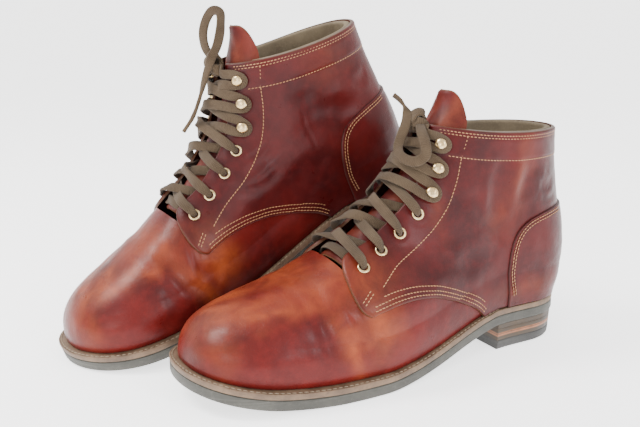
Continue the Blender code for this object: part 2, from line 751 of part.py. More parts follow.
# ---------------------------------------------------------------- hardware
def turned(profile, segs, P, n, ref):
    """solid of revolution about the normal at P; the profile runs (radius, height), closed if it
    never meets the axis"""
    n = np.array(n) / np.linalg.norm(n)
    a = np.array(ref) - n * float(np.dot(ref, n))
    a /= np.linalg.norm(a)
    b = np.cross(n, a)
    P = np.array(P)
    verts, faces, rings = [], [], []
    for (r, h) in profile:
        if r < 1e-6:
            rings.append([len(verts)])
            verts.append(tuple(P + n * h))
        else:
            ids = []
            for k in range(segs):
                w = 2 * math.pi * k / segs
                ids.append(len(verts))
                verts.append(tuple(P + n * h + (a * math.cos(w) + b * math.sin(w)) * r))
            rings.append(ids)
    pairs = list(zip(rings[:-1], rings[1:]))
    if len(rings[0]) > 1 and len(rings[-1]) > 1:
        pairs.append((rings[-1], rings[0]))
    for A, B in pairs:
        for k in range(segs):
            k2 = (k + 1) % segs
            if len(A) == 1:
                faces.append([A[0], B[k2], B[k]][::-1] if False else [A[0], B[k], B[k2]][::-1])
            elif len(B) == 1:
                faces.append([A[k], A[k2], B[0]])
            else:
                faces.append([A[k], A[k2], B[k2], B[k]])
    return verts, faces


EYELET_PROFILE = [(EYELET_HOLE_R, 1.8), (2.9, 1.8), (2.9, 4.95), (4.3, 4.95), (3.9, 5.6), (2.7, 5.8)]
HOOK_PROFILE = [(0, 4.75), (3.9, 4.75), (3.7, 5.4), (1.5, 5.8), (1.5, 9.6), (3.5, 9.8), (3.2, 10.8), (0, 11.5)]


def lace_route(first):
    """one lace from the knot down one run of crossings, under the bottom bar and up the other;
    points as (t, s, height)"""
    def eyelet_t(i):
        return ROW_TS[i][0]

    def row(i, side):
        return ROW_TS[i][1] if side > 0 else ROW_TS_MED[i][1]

    def strand(side0, high):
        pts = []
        s = side0
        for i in range(0, 4):
            t, e = eyelet_t(i), row(i, s)
            if i == 0:
                if s > 0:
                    pts += [(t + 0.8, 0.0, -1.0)]
                pts += [(t + 0.5, s * (e - 18.0), -1.3), (t + 0.6, s * (e - 10.0), -1.6), (t + 0.3, s * (e - 5.0), -1.9)]
            pts += [(t, s * (e - 0.5), 0.5), (t, s * e, 3.6), (t + 0.1, s * (e - 0.2), 6.3),
                    (t + 1.0, s * (e - 4.2), 8.5), (t + 2.6, s * (e - 10.5), 7.9)]
            if i < 3:
                s = -s
                t2, e2 = eyelet_t(i + 1), row(i + 1, s)
                mid = (t + t2) / 2
                pts += [(mid, 0.0, 6.0 if high else 0.0)]
                pts += [(t2 - 2.8, s * (e2 - 11.5), -1.4), (t2 - 0.6, s * (e2 - 4.2), -1.6)]
            high = not high if False else high
        return pts, s
    runs = []
    for side0, high in ((1, True), (-1, False)):
        pts, s = strand(side0, high)
        t4 = eyelet_t(3)
        prev = t4
        for i in (4, 5, 6):
            s = -s
            t, e = eyelet_t(i), row(i, s)
            mid = (prev + t) / 2 + 0.5
            pts += [(mid, 0.0, 9.6 if high else 4.6)]
            pts += [(t - 4.4, s * (e - 11.0), 7.6), (t - 4.0, s * (e - 1.5), 7.5), (t - 2.4, s * (e + 2.9), 7.5),
                    (t, s * (e + 4.1), 7.5), (t + 2.4, s * (e + 2.9), 7.5), (t + 4.0, s * (e - 1.5), 7.5),
                    (t + 4.4, s * (e - 11.0), 7.6)]
            prev = t
        pts += [(KNOT_T - 0.5, s * 7.6, 6.0)]
        runs.append(pts)
    a, b = runs
    return a[::-1] + b


KNOT_T = EDGE_T[-1] + 10.5
KNOT_H = 6.2


def smooth_path(points, step, closed=False):
    """centripetal Catmull-Rom through the points, resampled"""
    p = [np.array(q, float) for q in points]
    p = [2 * p[0] - p[1]] + p + [2 * p[-1] - p[-2]]
    out = []
    for i in range(1, len(p) - 2):
        p0, p1, p2, p3 = p[i - 1], p[i], p[i + 1], p[i + 2]
        t0 = 0.0
        t1 = t0 + max(np.linalg.norm(p1 - p0), 1e-6) ** 0.5
        t2 = t1 + max(np.linalg.norm(p2 - p1), 1e-6) ** 0.5
        t3 = t2 + max(np.linalg.norm(p3 - p2), 1e-6) ** 0.5
        for k in range(12):
            t = t1 + (t2 - t1) * k / 12
            A1 = (t1 - t) / (t1 - t0) * p0 + (t - t0) / (t1 - t0) * p1
            A2 = (t2 - t) / (t2 - t1) * p1 + (t - t1) / (t2 - t1) * p2
            A3 = (t3 - t) / (t3 - t2) * p2 + (t - t2) / (t3 - t2) * p3
            B1 = (t2 - t) / (t2 - t0) * A1 + (t - t0) / (t2 - t0) * A2
            B2 = (t3 - t) / (t3 - t1) * A2 + (t - t1) / (t3 - t1) * A3
            out.append((t2 - t) / (t2 - t1) * B1 + (t - t1) / (t2 - t1) * B2)
    out.append(p[-2])
    out = np.array(out)
    d = np.r_[0, np.cumsum(np.linalg.norm(np.diff(out, axis=0), axis=1))]
    if callable(step):
        return out, d
    n = max(2, int(round(d[-1] / step)))
    u = np.linspace(0, d[-1], n + 1)
    return np.stack([np.interp(u, d, out[:, k]) for k in range(3)], 1)


def adaptive(points, r):
    """fewer points on straight runs, more in tight bends"""
    dense = smooth_path(points, 0.6)
    keep = [0]
    t = np.diff(dense, axis=0)
    t /= np.linalg.norm(t, axis=1, keepdims=True)
    i = 0
    while i < len(dense) - 1:
        j = i + 1
        while j < len(dense) - 1:
            ang = math.degrees(math.acos(max(-1, min(1, float(t[i] @ t[min(j, len(t) - 1)])))))
            if ang > 40 or (j - i) * 0.6 > 13.0:
                break
            j += 1
        keep.append(j)
        i = j
    return dense[keep]


def lace_points():
    pts = [over(t, s, h)[0] for (t, s, h) in lace_route(1)]
    return adaptive(pts, LACE_R)


def bow_points(right):
    if right:
        # stands up from the knot, comes back and hangs down in front of the crossings
        r = [(KNOT_T + 6.0, 1.5, 7.0), (KNOT_T + 14.0, 3.5, 9.0), (KNOT_T + 24.0, 5.5, 7.5), (KNOT_T + 33.0, 5.0, 2.5),
             (KNOT_T + 38.5, 0.5, -3.5), (KNOT_T + 36.0, -5.0, -6.5), (KNOT_T + 27.0, -7.5, -2.0), (KNOT_T + 16.0, -7.5, 5.0),
             (KNOT_T + 6.0, -5.5, 11.5), (KNOT_T - 4.0, -3.5, 14.2), (KNOT_T - 16.0, -2.5, 15.8), (KNOT_T - 31.0, -2.0, 16.5),
             (KNOT_T - 46.0, -1.0, 16.5), (KNOT_T - 60.0, 1.0, 17.5)]
    else:
        # falls towards the lateral facing, comes back over the knot and ends in a short tip
        r = [(KNOT_T - 2.0, 6.5, 9.5), (KNOT_T - 7.0, 10.5, 14.0), (KNOT_T - 15.0, 14.5, 16.4), (KNOT_T - 23.5, 17.0, 16.6),
             (KNOT_T - 30.5, 14.5, 16.2), (KNOT_T - 32.0, 8.0, 15.6), (KNOT_T - 26.5, 3.0, 15.4), (KNOT_T - 17.0, 1.5, 15.8),
             (KNOT_T - 7.0, 1.0, 15.6), (KNOT_T + 2.0, -1.0, 14.0), (KNOT_T + 9.0, -3.5, 14.0), (KNOT_T + 15.0, -5.5, 17.5),
             (KNOT_T + 19.0, -7.0, 22.0)]
    pts = []
    for (t, s, h) in r:
        pts.append(over(t, s, h)[0])
    return pts


def make_knot():
    P, n = over(KNOT_T, 0.0, KNOT_H)
    ref = np.array([1.0, 0, 0])
    a = ref
    b = np.cross(n, a)
    verts, faces = [], []
    nu, nv = 10, 6
    rings = []
    for j in range(nv + 1):
        w = math.pi * j / nv
        if j in (0, nv):
            rings.append([len(verts)])
            verts.append(tuple(P + n * 4.4 * math.cos(w)))
        else:
            ids = []
            for k in range(nu):
                q = 2 * math.pi * k / nu
                c, s = math.cos(q), math.sin(q)
                ids.append(len(verts))
                verts.append(tuple(P + n * 4.4 * math.cos(w) + (a * 7.0 * c + b * 5.6 * s) * math.sin(w)))
            rings.append(ids)
    for A, B in zip(rings[:-1], rings[1:]):
        for k in range(nu):
            k2 = (k + 1) % nu
            if len(A) == 1:
                faces.append([A[0], B[k], B[k2]])
            elif len(B) == 1:
                faces.append([A[k2], A[k], B[0]])
            else:
                faces.append([A[k2], A[k], B[k], B[k2]])
    return verts, faces


# ---------------------------------------------------------------- materials and objects
def material(name, rgb, rough, metal=0.0):
    m = bpy.data.materials.new(name)
    m.use_nodes = True
    b = m.node_tree.nodes.get('Principled BSDF')
    b.inputs['Base Color'].default_value = (rgb[0], rgb[1], rgb[2], 1.0)
    b.inputs['Roughness'].default_value = rough
    b.inputs['Metallic'].default_value = metal
    m.diffuse_color = (rgb[0], rgb[1], rgb[2], 1.0)
    return m


for ob in list(bpy.data.objects):
    bpy.data.objects.remove(ob, do_unlink=True)

MATS = {
    'upper': material('oxblood_leather', (0.16, 0.022, 0.018), 0.38),
    'upper_b': material('oxblood_leather_quarter', (0.17, 0.026, 0.020), 0.38),
    'cover': material('oxblood_leather_counter', (0.15, 0.020, 0.017), 0.38),
    'tongue': material('oxblood_leather_tongue', (0.17, 0.028, 0.020), 0.45),
    'lining': material('olive_brown_lining', (0.10, 0.085, 0.05), 0.8),
    'insole': material('leather_insole', (0.38, 0.25, 0.14), 0.7),
    'cork': material('cork_filler', (0.36, 0.22, 0.12), 0.9),
    'shank': material('steel_shank', (0.45, 0.45, 0.45), 0.35, 1.0),
    'welt': material('tan_welt', (0.25, 0.14, 0.07), 0.55),
    'outsole': material('grey_olive_outsole', (0.055, 0.053, 0.045), 0.6),
    'stack': material('leather_heel_stack', (0.10, 0.06, 0.035), 0.55),
    'lift': material('rubber_top_lift', (0.04, 0.04, 0.038), 0.7),
    'brass': material('antique_brass', (0.62, 0.45, 0.22), 0.3, 1.0),
    'lace': material('taupe_lace', (0.20, 0.145, 0.09), 0.9),
}


def add_mesh(name, data, mat, origin, mirror, parent, sharp=35):
    verts, faces = data
    sgn = -1.0 if mirror else 1.0
    me = bpy.data.meshes.new(name)
    o = Vector((origin[0] * sgn, origin[1], origin[2]))
    me.from_pydata([((v[0] * sgn - o.x) * MM, (v[1] - o.y) * MM, (v[2] - o.z) * MM) for v in verts], [],
                   [list(reversed(f)) if mirror else list(f) for f in faces])
    bm = bmesh.new()
    bm.from_mesh(me)
    bmesh.ops.remove_doubles(bm, verts=bm.verts, dist=1e-6)
    bmesh.ops.triangulate(bm, faces=[f for f in bm.faces if len(f.verts) > 3])
    bmesh.ops.recalc_face_normals(bm, faces=bm.faces)
    if bm.calc_volume(signed=True) < 0:
        bmesh.ops.reverse_faces(bm, faces=bm.faces)
    bm.to_mesh(me)
    bm.free()
    me.shade_smooth()
    me.set_sharp_from_angle(angle=math.radians(sharp))
    me.materials.append(mat)
    ob = bpy.data.objects.new(name, me)
    bpy.context.scene.collection.objects.link(ob)
    ob.parent = parent
    ob.location = o * MM
    return ob


def add_tube(name, pts, r, mat, mirror, parent, sides=2):
    cu = bpy.data.curves.new(name, 'CURVE')
    cu.dimensions = '3D'
    cu.bevel_depth = r * MM
    cu.bevel_resolution = sides
    cu.use_fill_caps = True
    cu.twist_mode = 'MINIMUM'
    sp = cu.splines.new('POLY')
    sp.points.add(len(pts) - 1)
    sgn = -1.0 if mirror else 1.0
    for q, p in zip(sp.points, pts):
        q.co = (p[0] * sgn * MM, p[1] * MM, p[2] * MM, 1.0)
    cu.materials.append(mat)
    ob = bpy.data.objects.new(name, cu)
    bpy.context.scene.collection.objects.link(ob)
    ob.parent = parent
    return ob


def punch(ob, parent, centre, n, r, mirror):
    """a round hole through a quarter, left as a live Boolean on the piece"""
    sgn = -1.0 if mirror else 1.0
    bm = bmesh.new()
    bmesh.ops.create_cone(bm, cap_ends=True, segments=10, radius1=r * MM, radius2=r * MM, depth=9 * MM)
    me = bpy.data.meshes.new(ob.name + '_punch')
    bm.to_mesh(me)
    bm.free()
    c = bpy.data.objects.new(ob.name + '_punch', me)
    bpy.context.scene.collection.objects.link(c)
    c.parent = parent
    c.location = Vector((centre[0] * sgn, centre[1], centre[2])) * MM
    c.rotation_mode = 'QUATERNION'
    c.rotation_quaternion = Vector((n[0] * sgn, n[1], n[2])).to_track_quat('Z', 'Y')
    c.hide_render = True
    c.display_type = 'WIRE'
    md = ob.modifiers.new('eyelet hole', 'BOOLEAN')
    md.operation = 'DIFFERENCE'
    md.solver = 'EXACT'
    md.object = c


PIECES = {
    'vamp': make_vamp(), 'quarter_lateral': make_quarter(1), 'quarter_medial': make_quarter(-1),
    'heel_cover': make_cover(), 'lining': make_lining(), 'tongue': make_tongue(),
    'outsole': make_outsole(), 'welt': make_welt(), 'cork_filler': make_cork(), 'shank': make_shank(),
    'insole': make_insole(), 'heel_stack': make_stack(), 'top_lift': make_toplift(), 'lace_knot': make_knot(),
}
LOOK = {'vamp': 'upper', 'quarter_lateral': 'upper_b', 'quarter_medial': 'upper_b', 'heel_cover': 'cover',
        'lining': 'lining', 'tongue': 'tongue', 'outsole': 'outsole', 'welt': 'welt', 'cork_filler': 'cork',
        'shank': 'shank', 'insole': 'insole', 'heel_stack': 'stack', 'top_lift': 'lift', 'lace_knot': 'lace'}
LACE = lace_points()


def build_boot(prefix, mirror):
    frame = bpy.data.objects.new(prefix + '_boot_frame', None)
    bpy.context.scene.collection.objects.link(frame)
    if mirror:
        # the frame's origin lies on the tilt axis
        frame.location = Vector((RIGHT_X + PAIR_SHIFT[0], RIGHT_Y + TILT_PIVOT_Y + PAIR_SHIFT[1], 0)) * MM
        frame.rotation_euler = (math.radians(TILT_DEG), 0, 0)
    else:
        frame.location = Vector((PAIR_SHIFT[0], PAIR_SHIFT[1], 0)) * MM
    inner = bpy.data.objects.new(prefix + '_boot_toe', None)
    bpy.context.scene.collection.objects.link(inner)
    inner.parent = frame
    inner.location = Vector((0, -TILT_PIVOT_Y if mirror else 0, 0)) * MM
    hinge = (0.0, TONGUE_HINGE[0], TONGUE_HINGE[1])
    for name, data in PIECES.items():
        ob = add_mesh(prefix + '_' + name, data, MATS[LOOK[name]], hinge if name == 'tongue' else (0, 0, 0), mirror, inner)
        if name.startswith('quarter'):
            side = 1 if name.endswith('lateral') else -1
            for (y, z) in EYELET_YZ:
                t, s = girth(y, z, side)
                P, n = over(t, s * side, 3.0)
                punch(ob, inner, P, n, 3.7, mirror)
    for side, word in ((1, 'lateral'), (-1, 'medial')):
        for k, (y, z) in enumerate(EYELET_YZ + HOOK_YZ):
            t, s = girth(y, z, side)
            P, n = over(t, s * side, 0.0)
            if k < 4:
                data = turned(EYELET_PROFILE, 8, P, n, (0, 0, 1))
                nm = '%s_eyelet_%s_%d' % (prefix, word, k + 1)
            else:
                data = turned(HOOK_PROFILE, 8, P, n, (0, 0, 1))
                nm = '%s_hook_%s_%d' % (prefix, word, k - 3)
            add_mesh(nm, data, MATS['brass'], (0, 0, 0), mirror, inner, 40)
    add_tube(prefix + '_lace', LACE, LACE_R, MATS['lace'], mirror, inner)
    bow = smooth_path(bow_points(mirror), 7.0)
    add_tube(prefix + '_lace_bow', bow, LACE_R, MATS['lace'], mirror, inner)


build_boot('left', False)
build_boot('right', True)
bpy.context.view_layer.update()
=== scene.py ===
"""Looks for the pair of six-inch plain-toe leather boots: every shown piece is built here at a fine
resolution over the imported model, with procedural materials."""
import bpy
import bmesh
import math
import numpy as np
from mathutils import Matrix, Vector


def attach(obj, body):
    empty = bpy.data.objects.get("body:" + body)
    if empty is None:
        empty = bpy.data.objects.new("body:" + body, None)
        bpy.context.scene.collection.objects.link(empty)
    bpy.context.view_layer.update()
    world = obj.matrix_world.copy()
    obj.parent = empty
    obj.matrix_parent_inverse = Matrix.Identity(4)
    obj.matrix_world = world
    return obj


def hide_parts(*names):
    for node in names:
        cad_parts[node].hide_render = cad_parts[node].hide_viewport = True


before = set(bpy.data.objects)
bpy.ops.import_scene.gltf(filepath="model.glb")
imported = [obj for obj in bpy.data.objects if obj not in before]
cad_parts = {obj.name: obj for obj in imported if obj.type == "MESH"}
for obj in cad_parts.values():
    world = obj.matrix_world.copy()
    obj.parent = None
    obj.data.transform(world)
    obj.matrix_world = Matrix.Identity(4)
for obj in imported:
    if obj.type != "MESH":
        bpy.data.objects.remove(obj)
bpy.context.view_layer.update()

# ---------------------------------------------------------------- driving dimensions (mm, degrees)
BALL_Y = 95.0            # front of the flat tread
WAIST_Y = 125.0          # where the sole starts to rise to the heel
BREAST_Y = 236.0         # heel breast
TOE_SPRING = 15.0        # height of the toe end of the tread
HEEL_RISE = 20.0         # height of the outsole over the heel
SOLE_T = 12.7            # tread to lower edge of the upper
OUTSOLE_T = 7.4
WELT_T = 4.4
TOPLIFT_T = 7.0
COLLAR_Z = 162.0         # top line at the back
COLLAR_FRONT_Z = 170.0
GAP = 0.3                # between touching pieces
VAMP = (0.0, 1.4)        # layers, measured along the surface normal
QUARTER = (2.4, 4.2)
COVER = (4.9, 6.1)
LINING = (-3.6, -2.4)
TONGUE = (-6.6, -4.3)
LACE_R = 1.55
EYELET_HOLE_R = 2.3
EYELET_YZ = [(122.0, 78.5), (138.5, 87.0), (155.0, 97.5), (169.5, 109.5)]
HOOK_YZ = [(180.5, 123.0), (188.0, 138.5), (193.5, 155.0)]
FACING_MARGIN = 11.0     # eyelet centre to facing edge
TONGUE_HINGE = (113.5, 82.0)
RIGHT_X = -105.0         # right boot against the left one
RIGHT_Y = -44.6
TILT_DEG = 19.5          # right boot, heel raised
TILT_PIVOT_Y = 42.42      # the tilt axis lies on the floor, this far behind the toe
PAIR_SHIFT = (52.5, -131.56)  # puts the middle of the floor plan at the origin

MM = 0.001

# ---------------------------------------------------------------- last surface
W_Y = [0, 25, 50, 75, 100, 125, 150, 175, 200, 226, 253, 280, 311]
W_LAT = [45, 45, 47, 50, 52.5, 53, 50, 45, 39, 33.5, 30.5, 30, 30.5]
W_MED = [45, 47, 47, 46, 43, 37, 32, 29, 28.5, 28.5, 29, 29.5, 30.5]
RIDGE_Y = [-60, 0, 30, 50, 75, 100, 125, 150, 168, 180.5, 188.5, 192.5, 194, 194]
RIDGE_Z = [48, 54, 58, 62, 69, 80, 95, 114, 131, 147, 162, 178, 200, 230]
BACK_Z = [0, 20, 37, 50, 66, 85, 100, 121, 140, 155, 175, 200, 230]
BACK_Y = [302, 302.5, 303.5, 307, 308.5, 307.5, 305.5, 302.5, 300, 298.5, 298, 298, 298]
N_EXP = 2.15
P_EXP = 3.0


def smooth(t):
    t = np.clip(t, 0, 1)
    return t * t * (3 - 2 * t)


def pchip(xs, ys, x):
    """monotone cubic through (xs, ys)"""
    xs = np.asarray(xs, float)
    ys = np.asarray(ys, float)
    h = np.diff(xs)
    s = np.diff(ys) / h
    m = np.zeros_like(xs)
    for i in range(1, len(xs) - 1):
        if s[i - 1] * s[i] > 0:
            w1 = 2 * h[i] + h[i - 1]
            w2 = h[i] + 2 * h[i - 1]
            m[i] = (w1 + w2) / (w1 / s[i - 1] + w2 / s[i])
    m[0] = s[0]
    m[-1] = s[-1]
    x = np.asarray(x, float)
    i = np.clip(np.searchsorted(xs, x, side='right') - 1, 0, len(xs) - 2)
    t = np.clip((x - xs[i]) / h[i], 0, 1)
    return ((1 + 2 * t) * (1 - t) ** 2 * ys[i] + t * (1 - t) ** 2 * h[i] * m[i]
            + t * t * (3 - 2 * t) * ys[i + 1] + t * t * (t - 1) * h[i] * m[i + 1])


def sole_z(y):
    y = np.asarray(y, float)
    toe = TOE_SPRING * np.clip((BALL_Y - y) / BALL_Y, 0, None) ** 2
    t = np.clip((y - WAIST_Y) / (BREAST_Y - WAIST_Y), 0, 1)
    return toe + HEEL_RISE * (0.45 * t * t + 0.55 * smooth(t))


def feather_z(y):
    return sole_z(y) + SOLE_T


def polyline_smooth(ys, zs, n, passes):
    d = np.r_[0, np.cumsum(np.hypot(np.diff(ys), np.diff(zs)))]
    s = np.linspace(0, d[-1], n)
    y = pchip(d, ys, s)
    z = pchip(d, zs, s)
    for _ in range(passes):
        y[1:-1] = (y[:-2] + 2 * y[1:-1] + y[2:]) / 4
        z[1:-1] = (z[:-2] + 2 * z[1:-1] + z[2:]) / 4
    return np.stack([y, z], 1)


RC = polyline_smooth(RIDGE_Y, RIDGE_Z, 400, 30)
RC_S = np.r_[0, np.cumsum(np.linalg.norm(np.diff(RC, axis=0), axis=1))]


def ridge_foot(y, z):
    """signed distance to the ridge line (positive inside the boot) and the place along it"""
    P = np.stack([np.ravel(y), np.ravel(z)], 1).astype(float)
    a = RC[:-1]
    ab = RC[1:] - a
    L2 = (ab ** 2).sum(1)
    out = np.empty(len(P))
    where = np.empty(len(P))
    for k in range(0, len(P), 4000):
        p = P[k:k + 4000, None, :]
        t = np.clip(((p - a) * ab).sum(2) / L2, 0, 1)
        q = a + t[..., None] * ab
        dd = ((p - q) ** 2).sum(2)
        i = dd.argmin(1)
        r = np.arange(len(i))
        cr = ab[i, 0] * (p[:, 0, 1] - a[i, 1]) - ab[i, 1] * (p[:, 0, 0] - a[i, 0])
        out[k:k + 4000] = np.sqrt(dd[r, i]) * np.where(cr < 0, 1, -1)
        where[k:k + 4000] = RC_S[i] + t[r, i] * np.sqrt(L2[i])
    return out.reshape(np.shape(y)), where.reshape(np.shape(y))


def back_y(z):
    return pchip(BACK_Z, BACK_Y, z)


def toe_y(z):
    return 6.0 + 0.10 * (np.asarray(z) - 23)


def crown(y, z):
    """0 in the flat of a side, 1 on the boot's outline seen from the side"""
    a = np.clip(1 - ridge_foot(y, z)[0] / (35 + 17 * smooth((y - 55) / 90.0)), 0, None)
    b = np.clip(1 - (y - toe_y(z)) / 52.0, 0, None)
    e = np.clip(1 - (back_y(z) - y) / (33 + 14 * smooth((z - 60) / 90.0)), 0, None)
    return (a ** P_EXP + b ** P_EXP + e ** P_EXP) ** (1 / P_EXP)


def half_width(y, z, side):
    low = pchip(W_Y, W_LAT if side > 0 else W_MED, y)
    high = pchip([20, 60, 90, 110, 140, 180, 230], [34, 34, 32.5, 31.5, 32, 34, 35.5], z)
    s = smooth((z - 42 - 0.10 * np.clip(200 - y, 0, None)) / 52.0) * smooth((y - 85) / 60.0)
    tuck = 1 + 0.045 * np.sin(np.clip((z - feather_z(y)) / 26.0, -0.3, 1) * np.pi)
    return (low * (1 - s) + high * s) * tuck


def base_x(y, z, side):
    c = np.clip(crown(y, z), 0, 1)
    return side * half_width(y, z, side) * (1 - c ** N_EXP) ** (1 / N_EXP)


def level(x, y, z, side):
    return (np.abs(x) / half_width(y, z, side)) ** N_EXP + crown(y, z) ** N_EXP - 1


def normals(P, side):
    x, y, z = P[..., 0], P[..., 1], P[..., 2]
    e = 0.15
    n = np.stack([level(x + e, y, z, side) - level(x - e, y, z, side),
                  level(x, y + e, z, side) - level(x, y - e, z, side),
                  level(x, y, z + e, side) - level(x, y, z - e, side)], -1)
    return n / (np.linalg.norm(n, axis=-1, keepdims=True) + 1e-12)


def over(t, s, off):
    """a point by ridge place t, girth distance s from the ridge (signed: + lateral) and height off"""
    side = 1 if s >= 0 else -1
    R = np.array([np.interp(t, RC_S, RC[:, 0]), np.interp(t, RC_S, RC[:, 1])])
    R2 = np.array([np.interp(t + 1, RC_S, RC[:, 0]), np.interp(t + 1, RC_S, RC[:, 1])])
    T = (R2 - R) / np.linalg.norm(R2 - R)
    Nin = np.array([T[1], -T[0]])
    d = np.linspace(0, 1, 90) ** 2 * 48
    y = R[0] + Nin[0] * d
    z = R[1] + Nin[1] * d
    x = np.abs(base_x(y, z, side))
    x[0] = 0
    arc = np.r_[0, np.cumsum(np.sqrt(np.diff(x) ** 2 + np.diff(y) ** 2 + np.diff(z) ** 2))]
    k = abs(s)
    P = np.array([side * np.interp(k, arc, x), np.interp(k, arc, y), np.interp(k, arc, z)])
    n = normals(P[None], side)[0]
    if k < 0.5:
        n[0] = 0
        n /= np.linalg.norm(n)
    return P + n * off, n


def girth(y, z, side=1):
    """(t, s) of a point of the side view"""
    d0, t = ridge_foot(np.array([y]), np.array([z]))
    lo, hi = 0.0, 60.0
    for _ in range(30):
        m = (lo + hi) / 2
        P, _n = over(float(t[0]), m * side, 0)
        dd = ridge_foot(P[1:2], P[2:3])[0][0]
        if dd < d0[0]:
            lo = m
        else:
            hi = m
    return float(t[0]), lo


# ---------------------------------------------------------------- outlines in the side view
def spaced(curve, n, ease=None):
    """n + 1 points along a polyline, evenly by length or eased"""
    c = np.asarray(curve, float)
    d = np.r_[0, np.cumsum(np.linalg.norm(np.diff(c, axis=0), axis=1))]
    u = np.linspace(0, 1, n + 1)
    if ease is not None:
        u = ease(u)
    return np.stack([np.interp(u * d[-1], d, c[:, 0]), np.interp(u * d[-1], d, c[:, 1])], 1)


def rounded(points, n=60, passes=6):
    """a smooth line through corner points"""
    p = np.asarray(points, float)
    return polyline_smooth(p[:, 0], p[:, 1], n, passes) if np.all(np.diff(np.r_[0, np.cumsum(np.hypot(np.diff(p[:, 0]), np.diff(p[:, 1])))]) > 0) else p


def outline_point(y0, z0, dy, dz):
    """from an inner point towards (dy, dz) to the side-view outline"""
    lo, hi = 0.0, 200.0
    for _ in range(44):
        m = (lo + hi) / 2
        if crown(np.array([y0 + dy * m]), np.array([z0 + dz * m]))[0] < 1:
            lo = m
        else:
            hi = m
    return np.array([y0 + dy * lo, z0 + dz * lo])


TOE_CORNER_DEG = 148.0
Q0 = (62.0, 30.0)


def toe_wall():
    """from the ridge end down the front of the toe to the feather line"""
    z1 = float(feather_z(6.0))
    lowpt = outline_point(60.0, z1, -1.0, 0.0)
    a1 = math.atan2(lowpt[1] - Q0[1], lowpt[0] - Q0[0]) % (2 * math.pi)
    a0 = math.radians(TOE_CORNER_DEG)
    pts = [outline_point(Q0[0], Q0[1], math.cos(a), math.sin(a)) for a in np.linspace(a0, a1, 24)]
    return np.array(pts)


def ridge_top(y_end):
    """from the toe corner along the top of the toe and the instep to y_end"""
    a0 = math.radians(TOE_CORNER_DEG)
    pts = [outline_point(Q0[0], Q0[1], math.cos(a), math.sin(a)) for a in np.linspace(a0, math.radians(95), 24)]
    last = pts[-1][0]
    for y in np.linspace(last + 3, y_end, 24):
        z = np.interp(y, RC[:, 0], RC[:, 1])
        pts.append(np.array([y, z]))
    return np.array(pts)


TOEWALL = toe_wall()
FEATHER_Y0 = TOEWALL[-1][0]


def feather(y0, y1, n=60):
    y = np.linspace(y0, y1, n)
    return np.stack([y, feather_z(y)], 1)


HEEL_Y = float(back_y(feather_z(290.0)))


def back_line(z0, z1, n=40):
    z = np.linspace(z0, z1, n)
    return np.stack([back_y(z), z], 1)


def collar_z(y):
    t = np.clip((y - 180) / 110.0, 0, 1)
    return COLLAR_FRONT_Z + (COLLAR_Z - COLLAR_FRONT_Z) * t - 2.5 * np.sin(np.pi * t)


def facing_line(margin, rows=None):
    """side-view line at a girth distance in front of (or behind) the eyelet row"""
    out = []
    for (y, z) in (EYELET_YZ + HOOK_YZ):
        t, s = girth(y, z)
        P, _n = over(t, max(s - margin, 0.5), 0)
        out.append((P[1], P[2]))
    return out


ROW_TS = [girth(y, z) for (y, z) in EYELET_YZ + HOOK_YZ]
ROW_TS_MED = [girth(y, z, -1) for (y, z) in EYELET_YZ + HOOK_YZ]
EDGE_T = [t for t, s in ROW_TS]
EDGE_S = [s for t, s in ROW_TS]


def row_s(t):
    return float(np.interp(t, EDGE_T, EDGE_S))


def extend_to_collar(t_from, margin):
    """the facing line from the top row up to the top line"""
    pts = []
    for k in range(40):
        t = t_from + 1.0 + k * 1.0
        P, _n = over(t, EDGE_S[-1] - margin, 0)
        pts.append((P[1], P[2]))
        if P[2] >= collar_z(P[1]):
            break
    # last point exactly on the top line
    a, b = np.array(pts[-2]), np.array(pts[-1])
    fa, fb = a[1] - collar_z(a[0]), b[1] - collar_z(b[0])
    pts[-1] = tuple(a + (b - a) * (-fa / (fb - fa)))
    return pts


FACING = facing_line(FACING_MARGIN) + extend_to_collar(EDGE_T[-1], FACING_MARGIN)
LINING_FRONT = facing_line(-9.0) + extend_to_collar(EDGE_T[-1], -9.0)
TIP = (117.0, 52.5)
SEAM = [TIP, (126, 54.6), (138, 56.6), (152, 57.4), (168, 55.8), (184, 51.0), (200, 44.2), (212, 38.2),
        (221.5, float(feather_z(221.5)))]


def coons(left, right, bottom, top, nu, nv, ease_u=None, ease_v=None):
    """side-view grid: u from left to right, v from top (0) to bottom (1)"""
    T = spaced(top, nu, ease_u)
    B = spaced(bottom, nu, ease_u)
    L = spaced(left, nv, ease_v)
    R = spaced(right, nv, ease_v)
    u = np.linspace(0, 1, nu + 1) if ease_u is None else ease_u(np.linspace(0, 1, nu + 1))
    v = np.linspace(0, 1, nv + 1) if ease_v is None else ease_v(np.linspace(0, 1, nv + 1))
    U, V = np.meshgrid(u, v, indexing='ij')
    G = ((1 - V)[..., None] * T[:, None] + V[..., None] * B[:, None]
         + (1 - U)[..., None] * L[None] + U[..., None] * R[None]
         - ((1 - U) * (1 - V))[..., None] * T[0] - (U * (1 - V))[..., None] * T[-1]
         - ((1 - U) * V)[..., None] * B[0] - (U * V)[..., None] * B[-1])
    return G


def ease_in(u):
    return 0.35 * u + 0.65 * u * u


def ease_out(u):
    return 1 - ease_in(1 - u)


def ease_both(u):
    return 0.35 * u + 0.65 * (1 - np.cos(np.pi * u)) / 2


